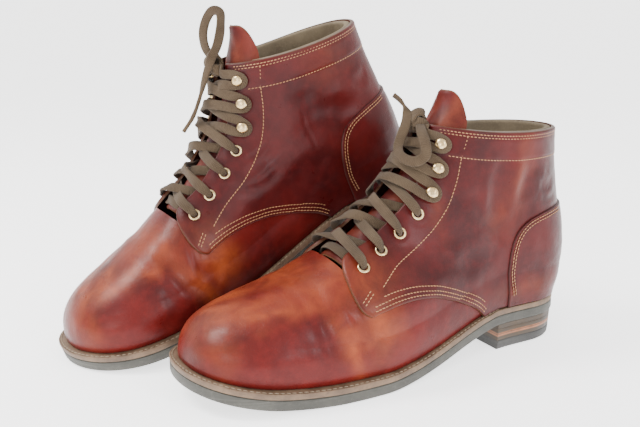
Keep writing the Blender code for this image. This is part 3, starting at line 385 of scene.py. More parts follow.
class Skin:
    """collects side-view grids of both sides into one surface, then thickens it"""

    def __init__(self):
        self.P = []
        self.N = []
        self.key = {}
        self.faces = []

    def vert(self, p, n):
        k = (round(p[0] * 50), round(p[1] * 50), round(p[2] * 50))
        for dx in (0, -1, 1):
            for dy in (0, -1, 1):
                for dz in (0, -1, 1):
                    j = self.key.get((k[0] + dx, k[1] + dy, k[2] + dz))
                    if j is not None:
                        return j
        self.key[k] = len(self.P)
        self.P.append(np.array(p))
        self.N.append(np.array(n))
        return self.key[k]

    def grid(self, G, side, zero=(), keep_x=None):
        """zero: edges lying in the middle plane, from 'left right top bottom'"""
        x = base_x(G[..., 0], G[..., 1], side)
        P = np.stack([x, G[..., 0], G[..., 1]], -1)
        mid = np.zeros(x.shape, bool)
        for e in zero:
            if e == 'left':
                mid[0, :] = True
            if e == 'right':
                mid[-1, :] = True
            if e == 'top':
                mid[:, 0] = True
            if e == 'bottom':
                mid[:, -1] = True
            if isinstance(e, int):
                mid[:e + 1, 0] = True
        P[mid, 0] = 0
        N = normals(P + np.array([1e-3 * side, 0, 0]), side)
        N[mid, 0] = 0
        N /= np.linalg.norm(N, axis=-1, keepdims=True)
        if keep_x is not None:
            P[mid, 0] = keep_x * side
        idx = np.empty(x.shape, int)
        for i in range(x.shape[0]):
            for j in range(x.shape[1]):
                idx[i, j] = self.vert(P[i, j], N[i, j])
        for i in range(x.shape[0] - 1):
            for j in range(x.shape[1] - 1):
                f = [idx[i, j], idx[i + 1, j], idx[i + 1, j + 1], idx[i, j + 1]]
                if side < 0:
                    f.reverse()
                g = [f[k] for k in range(4) if f[k] != f[k - 1]]
                if len(set(g)) >= 3:
                    self.faces.append(g)

    def thick(self, lo, hi):
        """closed shell between two heights, each a number or a function of (point)"""
        P = np.array(self.P)
        N = np.array(self.N)
        lo_v = np.array([lo(p) if callable(lo) else lo for p in P])
        hi_v = np.array([hi(p) if callable(hi) else hi for p in P])
        A = P + N * lo_v[:, None]
        B = P + N * hi_v[:, None]
        # lower edges all end on the feather line, above the welt
        A[:, 2] = np.maximum(A[:, 2], feather_z(A[:, 1]))
        B[:, 2] = np.maximum(B[:, 2], feather_z(B[:, 1]))
        n = len(P)
        verts = [tuple(v) for v in A] + [tuple(v) for v in B]
        faces = [[i + n for i in f] for f in self.faces] + [list(reversed(f)) for f in self.faces]
        edges = {}
        for f in self.faces:
            for k in range(len(f)):
                e = (f[k], f[(k + 1) % len(f)])
                edges[e] = edges.get(e, 0) + 1
        for (a, b) in list(edges):
            if (b, a) not in edges:
                faces.append([a, b, b + n, a + n])
        return verts, faces


# ---------------------------------------------------------------- upper pieces (mesh data, left boot)
THROAT_Y = 107.0


def throat_edge(ridge_y, girth_s, n):
    """from the ridge straight down the side: the back edge of a piece that ends at the throat"""
    t = float(np.interp(ridge_y, RC[:, 0], RC_S))
    return np.array([over(t, girth_s * k / n, 0)[0][1:] for k in range(n + 1)])


def make_vamp():
    sk = Skin()
    ridge = ridge_top(THROAT_Y)
    throat = throat_edge(THROAT_Y, 23.0, 4)
    hidden = rounded([tuple(throat[-1]), (121, 65.0), (134, 64.5), (152, 66), (170, 65), (188, 60), (205, 53), (220, 46), (236, 44.0)], 40, 3)
    end = float(feather_z(236.0))
    nr, nh, nv = 8, 6, 5
    for side in (1, -1):
        T = np.vstack([spaced(ridge, nr, ease_in), throat[1:], spaced(hidden, nh)[1:]])
        fy = np.r_[FEATHER_Y0 + (96.0 - FEATHER_Y0) * ease_in(np.linspace(0, 1, nr + 1)), [102, 108, 114, 121], np.linspace(121, 236, nh + 1)[1:]]
        B = np.stack([fy, feather_z(fy)], 1)
        L = spaced(TOEWALL, nv)
        R = spaced([hidden[-1], (236.0, end)], nv)
        G = coons_fixed(T, B, L, R, lambda v: 0.30 * v + 0.70 * v ** 1.9)
        sk.grid(G, side, zero=('left', nr))
    return sk.thick(*VAMP)


def coons_fixed(T, B, L, R, ease_v=None):
    """grid between ready-spaced edges"""
    nu, nv = len(T) - 1, len(L) - 1
    d = np.r_[0, np.cumsum(np.linalg.norm(np.diff(B, axis=0), axis=1))]
    e = np.r_[0, np.cumsum(np.linalg.norm(np.diff(T, axis=0), axis=1))]
    u = (d / d[-1] + e / e[-1]) / 2
    v = np.linspace(0, 1, nv + 1)
    if ease_v is not None:
        v = ease_v(v)
        L = spaced(L, nv, ease_v)
        R = spaced(R, nv, ease_v)
    U, V = np.meshgrid(u, v, indexing='ij')
    return ((1 - V)[..., None] * T[:, None] + V[..., None] * B[:, None]
            + (1 - U)[..., None] * L[None] + U[..., None] * R[None]
            - ((1 - U) * (1 - V))[..., None] * T[0] - (U * (1 - V))[..., None] * T[-1]
            - ((1 - U) * V)[..., None] * B[0] - (U * V)[..., None] * B[-1])


def quarter_front():
    """tip, lower front corner and facing edge, upwards"""
    return rounded([TIP, (112.5, 54.5), (109.3, 60.0), (107.8, 67.5), (108.6, 76.0), (112.0, 82.0)] + FACING[1:], 90, 4)


def make_quarter(side):
    sk = Skin()
    front = quarter_front()
    collar_y = np.linspace(front[-1][0], float(back_y(COLLAR_Z)), 30)
    top = np.stack([collar_y, collar_z(collar_y)], 1)
    top[-1] = (float(back_y(COLLAR_Z)), COLLAR_Z)
    zb = float(feather_z(285.0))
    back = back_line(COLLAR_Z, zb)
    n_seam, n_heel, nv = 6, 6, 10
    seam = spaced(rounded(SEAM, 50, 3), n_seam)
    heel = spaced(feather(SEAM[-1][0], float(back_y(zb))), n_heel, ease_out)
    B = np.vstack([seam, heel[1:]])
    T = spaced(top, n_seam + n_heel, lambda u: 0.8 * ease_out(u) + 0.2 * u)
    L = spaced(front[::-1], nv, ease_both)
    G = coons_fixed(T, B, L, spaced(back, nv))
    sk.grid(G, side, zero=('right',), keep_x=0.25)
    return sk.thick(*QUARTER)


def make_cover():
    sk = Skin()
    zb = float(feather_z(285.0))
    front = rounded([(262.0, 97.5), (252.0, 91.5), (246.0, 82.0), (243.5, 70.0), (243.0, 56.0), (245.0, float(feather_z(245.0)))], 40, 3)
    top = rounded([(262.0, 97.5), (272.0, 100.5), (284.0, 102.5), (float(back_y(104.0)), 104.0)], 20, 1)
    for side in (1, -1):
        B = spaced(feather(245.0, float(back_y(zb))), 6, ease_out)
        T = spaced(top, 6, ease_out)
        G = coons_fixed(T, B, spaced(front, 6), spaced(back_line(104.0, zb), 6))
        sk.grid(G, side, zero=('right',))
    return sk.thick(*COVER)


def lining_hi(p):
    """the lining is padded out to the leather in the collar"""
    return LINING[1] + (1.2 - LINING[1]) * float(smooth((p[2] - 141.0) / 14.0))


def make_lining():
    sk = Skin()
    ymid = 128.0
    zb = float(feather_z(285.0))
    split = (ymid, 58.0)
    ridge = ridge_top(98.0)
    throat = throat_edge(98.0, 26.0, 4)
    nv = 4
    for side in (1, -1):
        # forefoot
        T = np.vstack([spaced(ridge, 7, ease_in), throat[1:], spaced([throat[-1], split], 2)[1:]])
        fy = np.r_[FEATHER_Y0 + (90.0 - FEATHER_Y0) * ease_in(np.linspace(0, 1, 8)), [96, 102, 108, 114, 121, ymid]]
        B = np.stack([fy, feather_z(fy)], 1)
        Rr = spaced([split, (ymid, float(feather_z(ymid)))], nv)
        G = coons_fixed(T, B, spaced(TOEWALL, nv), Rr, None)
        sk.grid(G, side, zero=('left', 7))
        # heel and shaft
        front = np.array(LINING_FRONT)
        front = front[front[:, 1] > 72]
        low = spaced(np.vstack([[split], [(131.0, 68.0)], front]), 6)
        L = np.vstack([low[::-1], Rr[1:]])
        collar_y = np.linspace(L[0][0], float(back_y(COLLAR_Z)), 30)
        top = np.stack([collar_y, collar_z(collar_y)], 1)
        top[-1] = (float(back_y(COLLAR_Z)), COLLAR_Z)
        top[0] = L[0]
        Bh = spaced(feather(ymid, float(back_y(zb))), 7, ease_out)
        Th = spaced(top, 7, ease_out)
        Rb = spaced(back_line(COLLAR_Z, zb), 6 + nv)
        G = coons_fixed(Th, Bh, L, Rb)
        sk.grid(G, side, zero=('right',))
    return sk.thick(LINING[0], lining_hi)


TONGUE_DROP = 15.0


def tongue_lean(p):
    """the free top leans back into the shaft"""
    return 9.0 * float(smooth((p[2] - 160.0) / 36.0))


def make_tongue():
    """leather tongue over the instep, from under the throat to above the top line"""
    t0 = girth(112.0, 84.0)[0]
    t1 = EDGE_T[-1] + 36.0
    nt, ns = 9, 4
    V, N = [], []
    for i in range(nt + 1):
        k = i / nt
        w = 32.0 - 4.0 * k
        for j in range(-ns, ns + 1):
            # the top edge drops towards its corners
            t = t0 + (t1 - TONGUE_DROP * (j / ns) ** 2 - t0) * k
            P, n = over(t, w * j / ns if j else 0.0, 0)
            V.append(P)
            N.append(n)
    V = np.array(V)
    N = np.array(N)
    m = 2 * ns + 1
    F = []
    for i in range(nt):
        for j in range(2 * ns):
            F.append([i * m + j, i * m + j + 1, (i + 1) * m + j + 1, (i + 1) * m + j])
    sk = Skin()
    sk.P, sk.N, sk.faces = list(V), list(N), F
    return sk.thick(lambda p: TONGUE[0] - tongue_lean(p), lambda p: TONGUE[1] - tongue_lean(p))


# ---------------------------------------------------------------- bottom pieces
def plan_curve(side, margin, n=240):
    """feather line in plan, moved outwards by margin(y); toe centre to heel centre"""
    y = FEATHER_Y0 + (HEEL_Y - FEATHER_Y0) * (1 - np.cos(np.linspace(0, np.pi, n))) / 2
    x = base_x(y, feather_z(y), 1 if side > 0 else -1)
    x[0] = x[-1] = 0
    c = np.stack([x, y], 1)
    t = np.gradient(c, axis=0)
    t /= np.linalg.norm(t, axis=1, keepdims=True)
    t[0] = (side, 0)
    t[-1] = (-side, 0)
    nrm = np.stack([t[:, 1], -t[:, 0]], 1) * side
    m = np.array([margin(v) if callable(margin) else margin for v in y])
    o = c + nrm * m[:, None]
    for _ in range(4):
        o[1:-1] = (o[:-2] + 2 * o[1:-1] + o[2:]) / 4
    o[0, 0] = o[-1, 0] = 0
    return o


def sole_margin(y):
    return float(np.interp(y, [0, 60, 110, 160, 200, 236, 260, 300], [6.6, 6.8, 6.8, 5.2, 4.8, 5.2, 5.3, 5.3]))


def outline(side, margin, n, y0=None, y1=None, ease=None):
    c = plan_curve(side, margin)
    if y0 is not None:
        k = int(np.argmax(c[:, 1] > y0))
        f = (y0 - c[k - 1, 1]) / (c[k, 1] - c[k - 1, 1])
        c = np.vstack([c[k - 1] + f * (c[k] - c[k - 1]), c[k:]])
    if y1 is not None:
        k = int(np.argmax(c[:, 1] > y1))
        f = (y1 - c[k - 1, 1]) / (c[k, 1] - c[k - 1, 1])
        c = np.vstack([c[:k], c[k - 1] + f * (c[k] - c[k - 1])])
    return spaced(c, n, ease)


def slab(rows, z_lo, z_hi, mid=1, shift=None):
    """closed plate over plan rows [(medial point, lateral point)], z from two functions of y"""
    verts, faces = [], []
    m = mid + 1

    def ring(zf, sh):
        base = len(verts)
        for (a, b) in rows:
            for j in range(m):
                f = j / mid
                p = np.array(a) * (1 - f) + np.array(b) * f
                verts.append((p[0] if sh is None else p[0], p[1], float(zf(p[1]))))
        return base
    lo = ring(z_lo, None)
    hi = ring(z_hi, None)
    for i in range(len(rows) - 1):
        for j in range(mid):
            q = [i * m + j, i * m + j + 1, (i + 1) * m + j + 1, (i + 1) * m + j]
            faces.append([hi + k for k in q])
            faces.append([lo + k for k in reversed(q)])
        for (j, rev) in ((0, True), (mid, False)):
            q = [lo + i * m + j, lo + (i + 1) * m + j, hi + (i + 1) * m + j, hi + i * m + j]
            faces.append(q[::-1] if rev else q)
    for j in range(mid):
        q = [lo + j, lo + j + 1, hi + j + 1, hi + j]
        faces.append(q)
        e = (len(rows) - 1) * m
        q = [lo + e + j, hi + e + j, hi + e + j + 1, lo + e + j + 1]
        faces.append(q)
    return verts, faces


def rows_of(margin, n, y0=None, y1=None, ease=None):
    a = outline(-1, margin, n, y0, y1, ease)
    b = outline(1, margin, n, y0, y1, ease)
    rows = [(a[i], b[i]) for i in range(n + 1)]
    if y0 is None:
        rows = rows[1:]
    if y1 is None:
        rows = rows[:-1]
    return rows


def make_outsole():
    return slab(rows_of(sole_margin, 34), lambda y: sole_z(y), lambda y: sole_z(y) + OUTSOLE_T)


def make_welt():
    n = 26
    verts, faces = [], []
    loops = []
    for margin in (sole_margin, -0.6):
        a = outline(-1, margin, n)
        b = outline(1, margin, n)
        loops.append(np.vstack([b, a[-2:0:-1]]))
    m = len(loops[0])
    for (lp, dz) in ((0, OUTSOLE_T + 0.45), (0, OUTSOLE_T + GAP + WELT_T), (1, OUTSOLE_T + 0.45), (1, OUTSOLE_T + GAP + WELT_T)):
        for p in loops[lp]:
            verts.append((p[0], p[1], float(sole_z(p[1])) + dz))
    for i in range(m):
        k = (i + 1) % m
        ol, oh, il, ih = i, i + m, i + 2 * m, i + 3 * m
        ol2, oh2, il2, ih2 = k, k + m, k + 2 * m, k + 3 * m
        faces += [[ol, ol2, oh2, oh], [oh, oh2, ih2, ih], [ih, ih2, il2, il], [il, il2, ol2, ol]]
    return verts, faces


def make_cork():
    return slab(rows_of(-1.6, 16, None, 150.0), lambda y: sole_z(y) + OUTSOLE_T + GAP, lambda y: sole_z(y) + OUTSOLE_T + GAP + 3.0)


def make_shank():
    rows = []
    for i in range(11):
        f = i / 10
        y = 153.0 + (262.0 - 153.0) * f
        w = 9.0 + 2.0 * math.sin(math.pi * f) if 0 < f < 1 else 6.0
        rows.append(((2.0 - w, y), (2.0 + w, y)))
    return slab(rows, lambda y: sole_z(y) + OUTSOLE_T + GAP + 0.4, lambda y: sole_z(y) + OUTSOLE_T + GAP + 2.8)


def make_insole():
    return slab(rows_of(-6.3, 22), lambda y: sole_z(y) + OUTSOLE_T + 2 * GAP + 3.0, lambda y: sole_z(y) + OUTSOLE_T + 2 * GAP + 6.0)


def heel_part(z0, z1, m0, m1, curved_top=False):
    """heel layer: outline margins m0 at z0, m1 at z1; breast face across"""
    n = 10
    verts, faces = [], []
    breast0 = BREAST_Y + 1.5
    lo = outline(-1, lambda y: sole_margin(y) + m0, n, breast0), outline(1, lambda y: sole_margin(y) + m0, n, breast0)
    hi = outline(-1, lambda y: sole_margin(y) + m1, n, breast0 - (1.5 if curved_top else 0.6)), outline(1, lambda y: sole_margin(y) + m1, n, breast0 - (1.5 if curved_top else 0.6))
    rows = n
    for (A, B), z in ((lo, z0), (hi, z1)):
        for i in range(n):
            for p in (A[i], B[i]):
                zz = z(p[1]) if callable(z) else z
                verts.append((p[0], p[1], float(zz)))
    L, H = 0, 2 * n
    for i in range(n - 1):
        a, b = 2 * i, 2 * i + 2
        faces.append([H + a, H + a + 1, H + b + 1, H + b])
        faces.append([L + b, L + b + 1, L + a + 1, L + a])
        faces.append([L + a + 1, L + b + 1, H + b + 1, H + a + 1])
        faces.append([L + b, L + a, H + a, H + b])
    faces.append([L, L + 1, H + 1, H])
    e = 2 * (n - 1)
    faces.append([L + e + 1, L + e, H + e, H + e + 1])
    return verts, faces


def make_stack():
    return heel_part(TOPLIFT_T + GAP, lambda y: sole_z(y) - GAP - 0.35 * max(0.0, 1 - (y - BREAST_Y) / 14.0), -1.6, -0.3, True)


def make_toplift():
    return heel_part(0.0, TOPLIFT_T, -2.6, -1.6)


# ---------------------------------------------------------------- hardware
def turned(profile, segs, P, n, ref):
    """solid of revolution about the normal at P; the profile runs (radius, height), closed if it
    never meets the axis"""
    n = np.array(n) / np.linalg.norm(n)
    a = np.array(ref) - n * float(np.dot(ref, n))
    a /= np.linalg.norm(a)
    b = np.cross(n, a)
    P = np.array(P)
    verts, faces, rings = [], [], []
    for (r, h) in profile:
        if r < 1e-6:
            rings.append([len(verts)])
            verts.append(tuple(P + n * h))
        else:
            ids = []
            for k in range(segs):
                w = 2 * math.pi * k / segs
                ids.append(len(verts))
                verts.append(tuple(P + n * h + (a * math.cos(w) + b * math.sin(w)) * r))
            rings.append(ids)
    pairs = list(zip(rings[:-1], rings[1:]))
    if len(rings[0]) > 1 and len(rings[-1]) > 1:
        pairs.append((rings[-1], rings[0]))
    for A, B in pairs:
        for k in range(segs):
            k2 = (k + 1) % segs
            if len(A) == 1:
                faces.append([A[0], B[k2], B[k]][::-1] if False else [A[0], B[k], B[k2]][::-1])
            elif len(B) == 1:
                faces.append([A[k], A[k2], B[0]])
            else:
                faces.append([A[k], A[k2], B[k2], B[k]])
    return verts, faces


EYELET_PROFILE = [(EYELET_HOLE_R, 1.8), (2.9, 1.8), (2.9, 4.95), (4.3, 4.95), (3.9, 5.6), (2.7, 5.8)]
HOOK_PROFILE = [(0, 4.75), (3.9, 4.75), (3.7, 5.4), (1.5, 5.8), (1.5, 9.6), (3.5, 9.8), (3.2, 10.8), (0, 11.5)]


def lace_route(first):
    """one lace from the knot down one run of crossings, under the bottom bar and up the other;
    points as (t, s, height)"""
    def eyelet_t(i):
        return ROW_TS[i][0]

    def row(i, side):
        return ROW_TS[i][1] if side > 0 else ROW_TS_MED[i][1]

    def strand(side0, high):
        pts = []
        s = side0
        for i in range(0, 4):
            t, e = eyelet_t(i), row(i, s)
            if i == 0:
                if s > 0:
                    pts += [(t + 0.8, 0.0, -1.0)]
                pts += [(t + 0.5, s * (e - 18.0), -1.3), (t + 0.6, s * (e - 10.0), -1.6), (t + 0.3, s * (e - 5.0), -1.9)]
            pts += [(t, s * (e - 0.5), 0.5), (t, s * e, 3.6), (t + 0.1, s * (e - 0.2), 6.3),
                    (t + 1.0, s * (e - 4.2), 8.5), (t + 2.6, s * (e - 10.5), 7.9)]
            if i < 3:
                s = -s
                t2, e2 = eyelet_t(i + 1), row(i + 1, s)
                mid = (t + t2) / 2
                pts += [(mid, 0.0, 6.0 if high else 0.0)]
                pts += [(t2 - 2.8, s * (e2 - 11.5), -1.4), (t2 - 0.6, s * (e2 - 4.2), -1.6)]
            high = not high if False else high
        return pts, s
    runs = []
    for side0, high in ((1, True), (-1, False)):
        pts, s = strand(side0, high)
        t4 = eyelet_t(3)
        prev = t4
        for i in (4, 5, 6):
            s = -s
            t, e = eyelet_t(i), row(i, s)
            mid = (prev + t) / 2 + 0.5
            pts += [(mid, 0.0, 9.6 if high else 4.6)]
            pts += [(t - 4.4, s * (e - 11.0), 7.6), (t - 4.0, s * (e - 1.5), 7.5), (t - 2.4, s * (e + 2.9), 7.5),
                    (t, s * (e + 4.1), 7.5), (t + 2.4, s * (e + 2.9), 7.5), (t + 4.0, s * (e - 1.5), 7.5),
                    (t + 4.4, s * (e - 11.0), 7.6)]
            prev = t
        pts += [(KNOT_T - 0.5, s * 7.6, 6.0)]
        runs.append(pts)
    a, b = runs
    return a[::-1] + b


KNOT_T = EDGE_T[-1] + 10.5
KNOT_H = 6.2


def smooth_path(points, step, closed=False):
    """centripetal Catmull-Rom through the points, resampled"""
    p = [np.array(q, float) for q in points]
    p = [2 * p[0] - p[1]] + p + [2 * p[-1] - p[-2]]
    out = []
    for i in range(1, len(p) - 2):
        p0, p1, p2, p3 = p[i - 1], p[i], p[i + 1], p[i + 2]
        t0 = 0.0
        t1 = t0 + max(np.linalg.norm(p1 - p0), 1e-6) ** 0.5
        t2 = t1 + max(np.linalg.norm(p2 - p1), 1e-6) ** 0.5
        t3 = t2 + max(np.linalg.norm(p3 - p2), 1e-6) ** 0.5
        for k in range(12):
            t = t1 + (t2 - t1) * k / 12
            A1 = (t1 - t) / (t1 - t0) * p0 + (t - t0) / (t1 - t0) * p1
            A2 = (t2 - t) / (t2 - t1) * p1 + (t - t1) / (t2 - t1) * p2
            A3 = (t3 - t) / (t3 - t2) * p2 + (t - t2) / (t3 - t2) * p3
            B1 = (t2 - t) / (t2 - t0) * A1 + (t - t0) / (t2 - t0) * A2
            B2 = (t3 - t) / (t3 - t1) * A2 + (t - t1) / (t3 - t1) * A3
            out.append((t2 - t) / (t2 - t1) * B1 + (t - t1) / (t2 - t1) * B2)
    out.append(p[-2])
    out = np.array(out)
    d = np.r_[0, np.cumsum(np.linalg.norm(np.diff(out, axis=0), axis=1))]
    if callable(step):
        return out, d
    n = max(2, int(round(d[-1] / step)))
    u = np.linspace(0, d[-1], n + 1)
    return np.stack([np.interp(u, d, out[:, k]) for k in range(3)], 1)


def adaptive(points, r):
    """fewer points on straight runs, more in tight bends"""
    dense = smooth_path(points, 0.6)
    keep = [0]
    t = np.diff(dense, axis=0)
    t /= np.linalg.norm(t, axis=1, keepdims=True)
    i = 0
    while i < len(dense) - 1:
        j = i + 1
        while j < len(dense) - 1:
            ang = math.degrees(math.acos(max(-1, min(1, float(t[i] @ t[min(j, len(t) - 1)])))))
            if ang > 40 or (j - i) * 0.6 > 13.0:
                break
            j += 1
        keep.append(j)
        i = j
    return dense[keep]


def lace_points():
    pts = [over(t, s, h)[0] for (t, s, h) in lace_route(1)]
    return adaptive(pts, LACE_R)


def bow_points(right):
    if right:
        # stands up from the knot, comes back and hangs down in front of the crossings
        r = [(KNOT_T + 6.0, 1.5, 7.0), (KNOT_T + 14.0, 3.5, 9.0), (KNOT_T + 24.0, 5.5, 7.5), (KNOT_T + 33.0, 5.0, 2.5),
             (KNOT_T + 38.5, 0.5, -3.5), (KNOT_T + 36.0, -5.0, -6.5), (KNOT_T + 27.0, -7.5, -2.0), (KNOT_T + 16.0, -7.5, 5.0),
             (KNOT_T + 6.0, -5.5, 11.5), (KNOT_T - 4.0, -3.5, 14.2), (KNOT_T - 16.0, -2.5, 15.8), (KNOT_T - 31.0, -2.0, 16.5),
             (KNOT_T - 46.0, -1.0, 16.5), (KNOT_T - 60.0, 1.0, 17.5)]
    else:
        # falls towards the lateral facing, comes back over the knot and ends in a short tip
        r = [(KNOT_T - 2.0, 6.5, 9.5), (KNOT_T - 7.0, 10.5, 14.0), (KNOT_T - 15.0, 14.5, 16.4), (KNOT_T - 23.5, 17.0, 16.6),
             (KNOT_T - 30.5, 14.5, 16.2), (KNOT_T - 32.0, 8.0, 15.6), (KNOT_T - 26.5, 3.0, 15.4), (KNOT_T - 17.0, 1.5, 15.8),
             (KNOT_T - 7.0, 1.0, 15.6), (KNOT_T + 2.0, -1.0, 14.0), (KNOT_T + 9.0, -3.5, 14.0), (KNOT_T + 15.0, -5.5, 17.5),
             (KNOT_T + 19.0, -7.0, 22.0)]
    pts = []
    for (t, s, h) in r:
        pts.append(over(t, s, h)[0])
    return pts


def make_knot():
    P, n = over(KNOT_T, 0.0, KNOT_H)
    ref = np.array([1.0, 0, 0])
    a = ref
    b = np.cross(n, a)
    verts, faces = [], []
    nu, nv = 10, 6
    rings = []
    for j in range(nv + 1):
        w = math.pi * j / nv
        if j in (0, nv):
            rings.append([len(verts)])
            verts.append(tuple(P + n * 4.4 * math.cos(w)))
        else:
            ids = []
            for k in range(nu):
                q = 2 * math.pi * k / nu
                c, s = math.cos(q), math.sin(q)
                ids.append(len(verts))
                verts.append(tuple(P + n * 4.4 * math.cos(w) + (a * 7.0 * c + b * 5.6 * s) * math.sin(w)))
            rings.append(ids)
    for A, B in zip(rings[:-1], rings[1:]):
        for k in range(nu):
            k2 = (k + 1) % nu
            if len(A) == 1:
                faces.append([A[0], B[k], B[k2]])
            elif len(B) == 1:
                faces.append([A[k2], A[k], B[0]])
            else:
                faces.append([A[k2], A[k], B[k], B[k2]])
    return verts, faces


# ---------------------------------------------------------------- fine surfaces
TH = math.radians(TILT_DEG)
RNG = np.random.default_rng(11)
WAVES = RNG.normal(size=(40, 3))
PHASE = RNG.uniform(0, 2 * math.pi, 40)


def wob(P, size, seed=0, n=7):
    """smooth noise of about unit size, features of about size mm"""
    out = np.zeros(P.shape[:-1])
    for k in range(n):
        w = WAVES[(k + seed * 5) % 40]
        w = w / np.linalg.norm(w) * (2 * math.pi / size) * (0.7 + 0.09 * k)
        out += np.sin(P @ w + PHASE[(k * 3 + seed * 7) % 40])
    return out / math.sqrt(n)


def at(curve, f):
    """points of a polyline at length fractions f"""
    c = np.asarray(curve, float)
    d = np.r_[0, np.cumsum(np.linalg.norm(np.diff(c, axis=0), axis=1))]
    f = np.asarray(f, float) * d[-1]
    return np.stack([np.interp(f, d, c[:, k]) for k in range(c.shape[1])], -1)


def near_edges(n, lo=True, hi=True, step=0.006):
    """n steps over 0..1, closer together at the ends that are edges"""
    u = list(np.linspace(0, 1, n + 1))
    extra = [0.12 * step * 1.6, 0.45 * step * 1.6, 1.6 * step, 2.6 * step]
    if lo:
        u += extra
    if hi:
        u += [1 - e for e in extra]
    return np.unique(np.round(u, 6))


def patch(T, B, L, R):
    """Coons patch; T and B share their parameter, L and R share theirs"""
    def par(a, b):
        d = np.r_[0, np.cumsum(np.linalg.norm(np.diff(a, axis=0), axis=1))]
        e = np.r_[0, np.cumsum(np.linalg.norm(np.diff(b, axis=0), axis=1))]
        return (d / d[-1] + e / e[-1]) / 2
    u, v = par(T, B), par(L, R)
    U, V = np.meshgrid(u, v, indexing='ij')
    return ((1 - V)[..., None] * T[:, None] + V[..., None] * B[:, None]
            + (1 - U)[..., None] * L[None] + U[..., None] * R[None]
            - ((1 - U) * (1 - V))[..., None] * T[0] - (U * (1 - V))[..., None] * T[-1]
            - ((1 - U) * V)[..., None] * B[0] - (U * V)[..., None] * B[-1])


def lift(G, side, mid=None, keep=0.0):
    """side-view grid to surface points and normals; mid marks points in the middle plane"""
    x = base_x(G[..., 0], G[..., 1], side)
    P = np.stack([x, G[..., 0], G[..., 1]], -1)
    if mid is not None:
        P[mid, 0] = keep * side
    N = normals(P + np.array([1e-3 * side, 0, 0]), side)
    if mid is not None:
        N[mid, 0] = 0
    N /= np.linalg.norm(N, axis=-1, keepdims=True)
    return P, N


def edge_distance(P, edges):
    """distance along the surface to the nearest of the named real edges"""
    a = np.linalg.norm(np.diff(P, axis=0), axis=2)
    u = np.concatenate([np.zeros((1, P.shape[1])), np.cumsum(a, 0)], 0)
    b = np.linalg.norm(np.diff(P, axis=1), axis=2)
    v = np.concatenate([np.zeros((P.shape[0], 1)), np.cumsum(b, 1)], 1)
    d = np.full(P.shape[:2], 99.0)
    if 'left' in edges:
        d = np.minimum(d, u)
    if 'right' in edges:
        d = np.minimum(d, u[-1:] - u)
    if 'top' in edges:
        d = np.minimum(d, v)
    if 'bottom' in edges:
        d = np.minimum(d, v[:, -1:] - v)
    return d


def line_distance(y, z, pts):
    """distance in the side view to a polyline, and the place along it (0..1)"""
    c = np.asarray(pts, float)
    a, b = c[:-1], c[1:]
    ab = b - a
    L = np.linalg.norm(ab, axis=1)
    acc = np.r_[0, np.cumsum(L)]
    best = np.full(np.shape(y), 1e9)
    where = np.zeros(np.shape(y))
    for k in range(len(a)):
        t = np.clip(((y - a[k, 0]) * ab[k, 0] + (z - a[k, 1]) * ab[k, 1]) / L[k] ** 2, 0, 1)
        d = np.hypot(y - a[k, 0] - t * ab[k, 0], z - a[k, 1] - t * ab[k, 1])
        m = d < best
        best = np.where(m, d, best)
        where = np.where(m, (acc[k] + t * L[k]) / acc[-1], where)
    return best, where


# creases and folds worn into the leather: side-view line, depth (mm), half width (mm), sides, boots
CREASES = [
    ([(104, 24), (97, 38), (92, 52), (89, 64), (88, 74)], 1.15, 6.5, (1, -1), ('left', 'right')),
    ([(116, 26), (110, 36), (104, 47), (99, 58)], 0.55, 4.0, (1,), ('left',)),
    ([(84, 26), (80, 38), (77, 50), (76, 60), (77, 69)], 0.45, 4.0, (1,), ('left',)),
    ([(118, 28), (112, 40), (106, 52)], 0.7, 4.5, (-1,), ('right',)),
    ([(84, 24), (78, 38), (75, 52), (76, 66)], 0.6, 5.0, (-1,), ('right',)),
    ([(128, 27), (124, 36), (120, 44)], 0.35, 2.6, (1, -1), ('left', 'right')),
    ([(150, 86), (160, 82), (170, 80), (182, 82), (192, 88)], 0.6, 4.5, (-1,), ('right',)),
    ([(166, 92), (175, 94), (186, 97), (198, 102)], 0.55, 3.4, (-1,), ('right',)),
    ([(172, 101), (182, 103), (192, 107)], 0.35, 2.2, (-1,), ('right',)),
    ([(169, 86), (180, 88), (190, 92)], 0.30, 1.8, (-1,), ('right',)),
    ([(205, 128), (211, 114), (219, 101), (231, 92), (246, 88)], 1.0, 8.0, (1,), ('left',)),
    ([(236, 148), (232, 132), (230, 116), (233, 101)], 0.8, 7.0, (1,), ('left',)),
    ([(262, 140), (256, 124), (250, 112)], 0.7, 7.0, (1,), ('left',)),
    ([(224, 122), (223, 108), (225, 96), (226, 86)], 0.4, 1.6, (-1,), ('right',)),
    ([(216, 136), (228, 124), (244, 115), (266, 110), (284, 112)], 1.0, 7.5, (-1,), ('right',)),
    ([(196, 64), (206, 74), (218, 78), (236, 74)], 0.9, 8.0, (1, -1), ('left', 'right')),
    ([(160, 70), (172, 76), (186, 76), (198, 70)], 0.5, 6.0, (1,), ('left',)),
    ([(288, 124), (278, 121), (268, 122)], 0.6, 4.5, (1, -1), ('left', 'right')),
    ([(289, 112), (280, 111), (272, 113)], 0.35, 3.0, (1,), ('left',)),
]
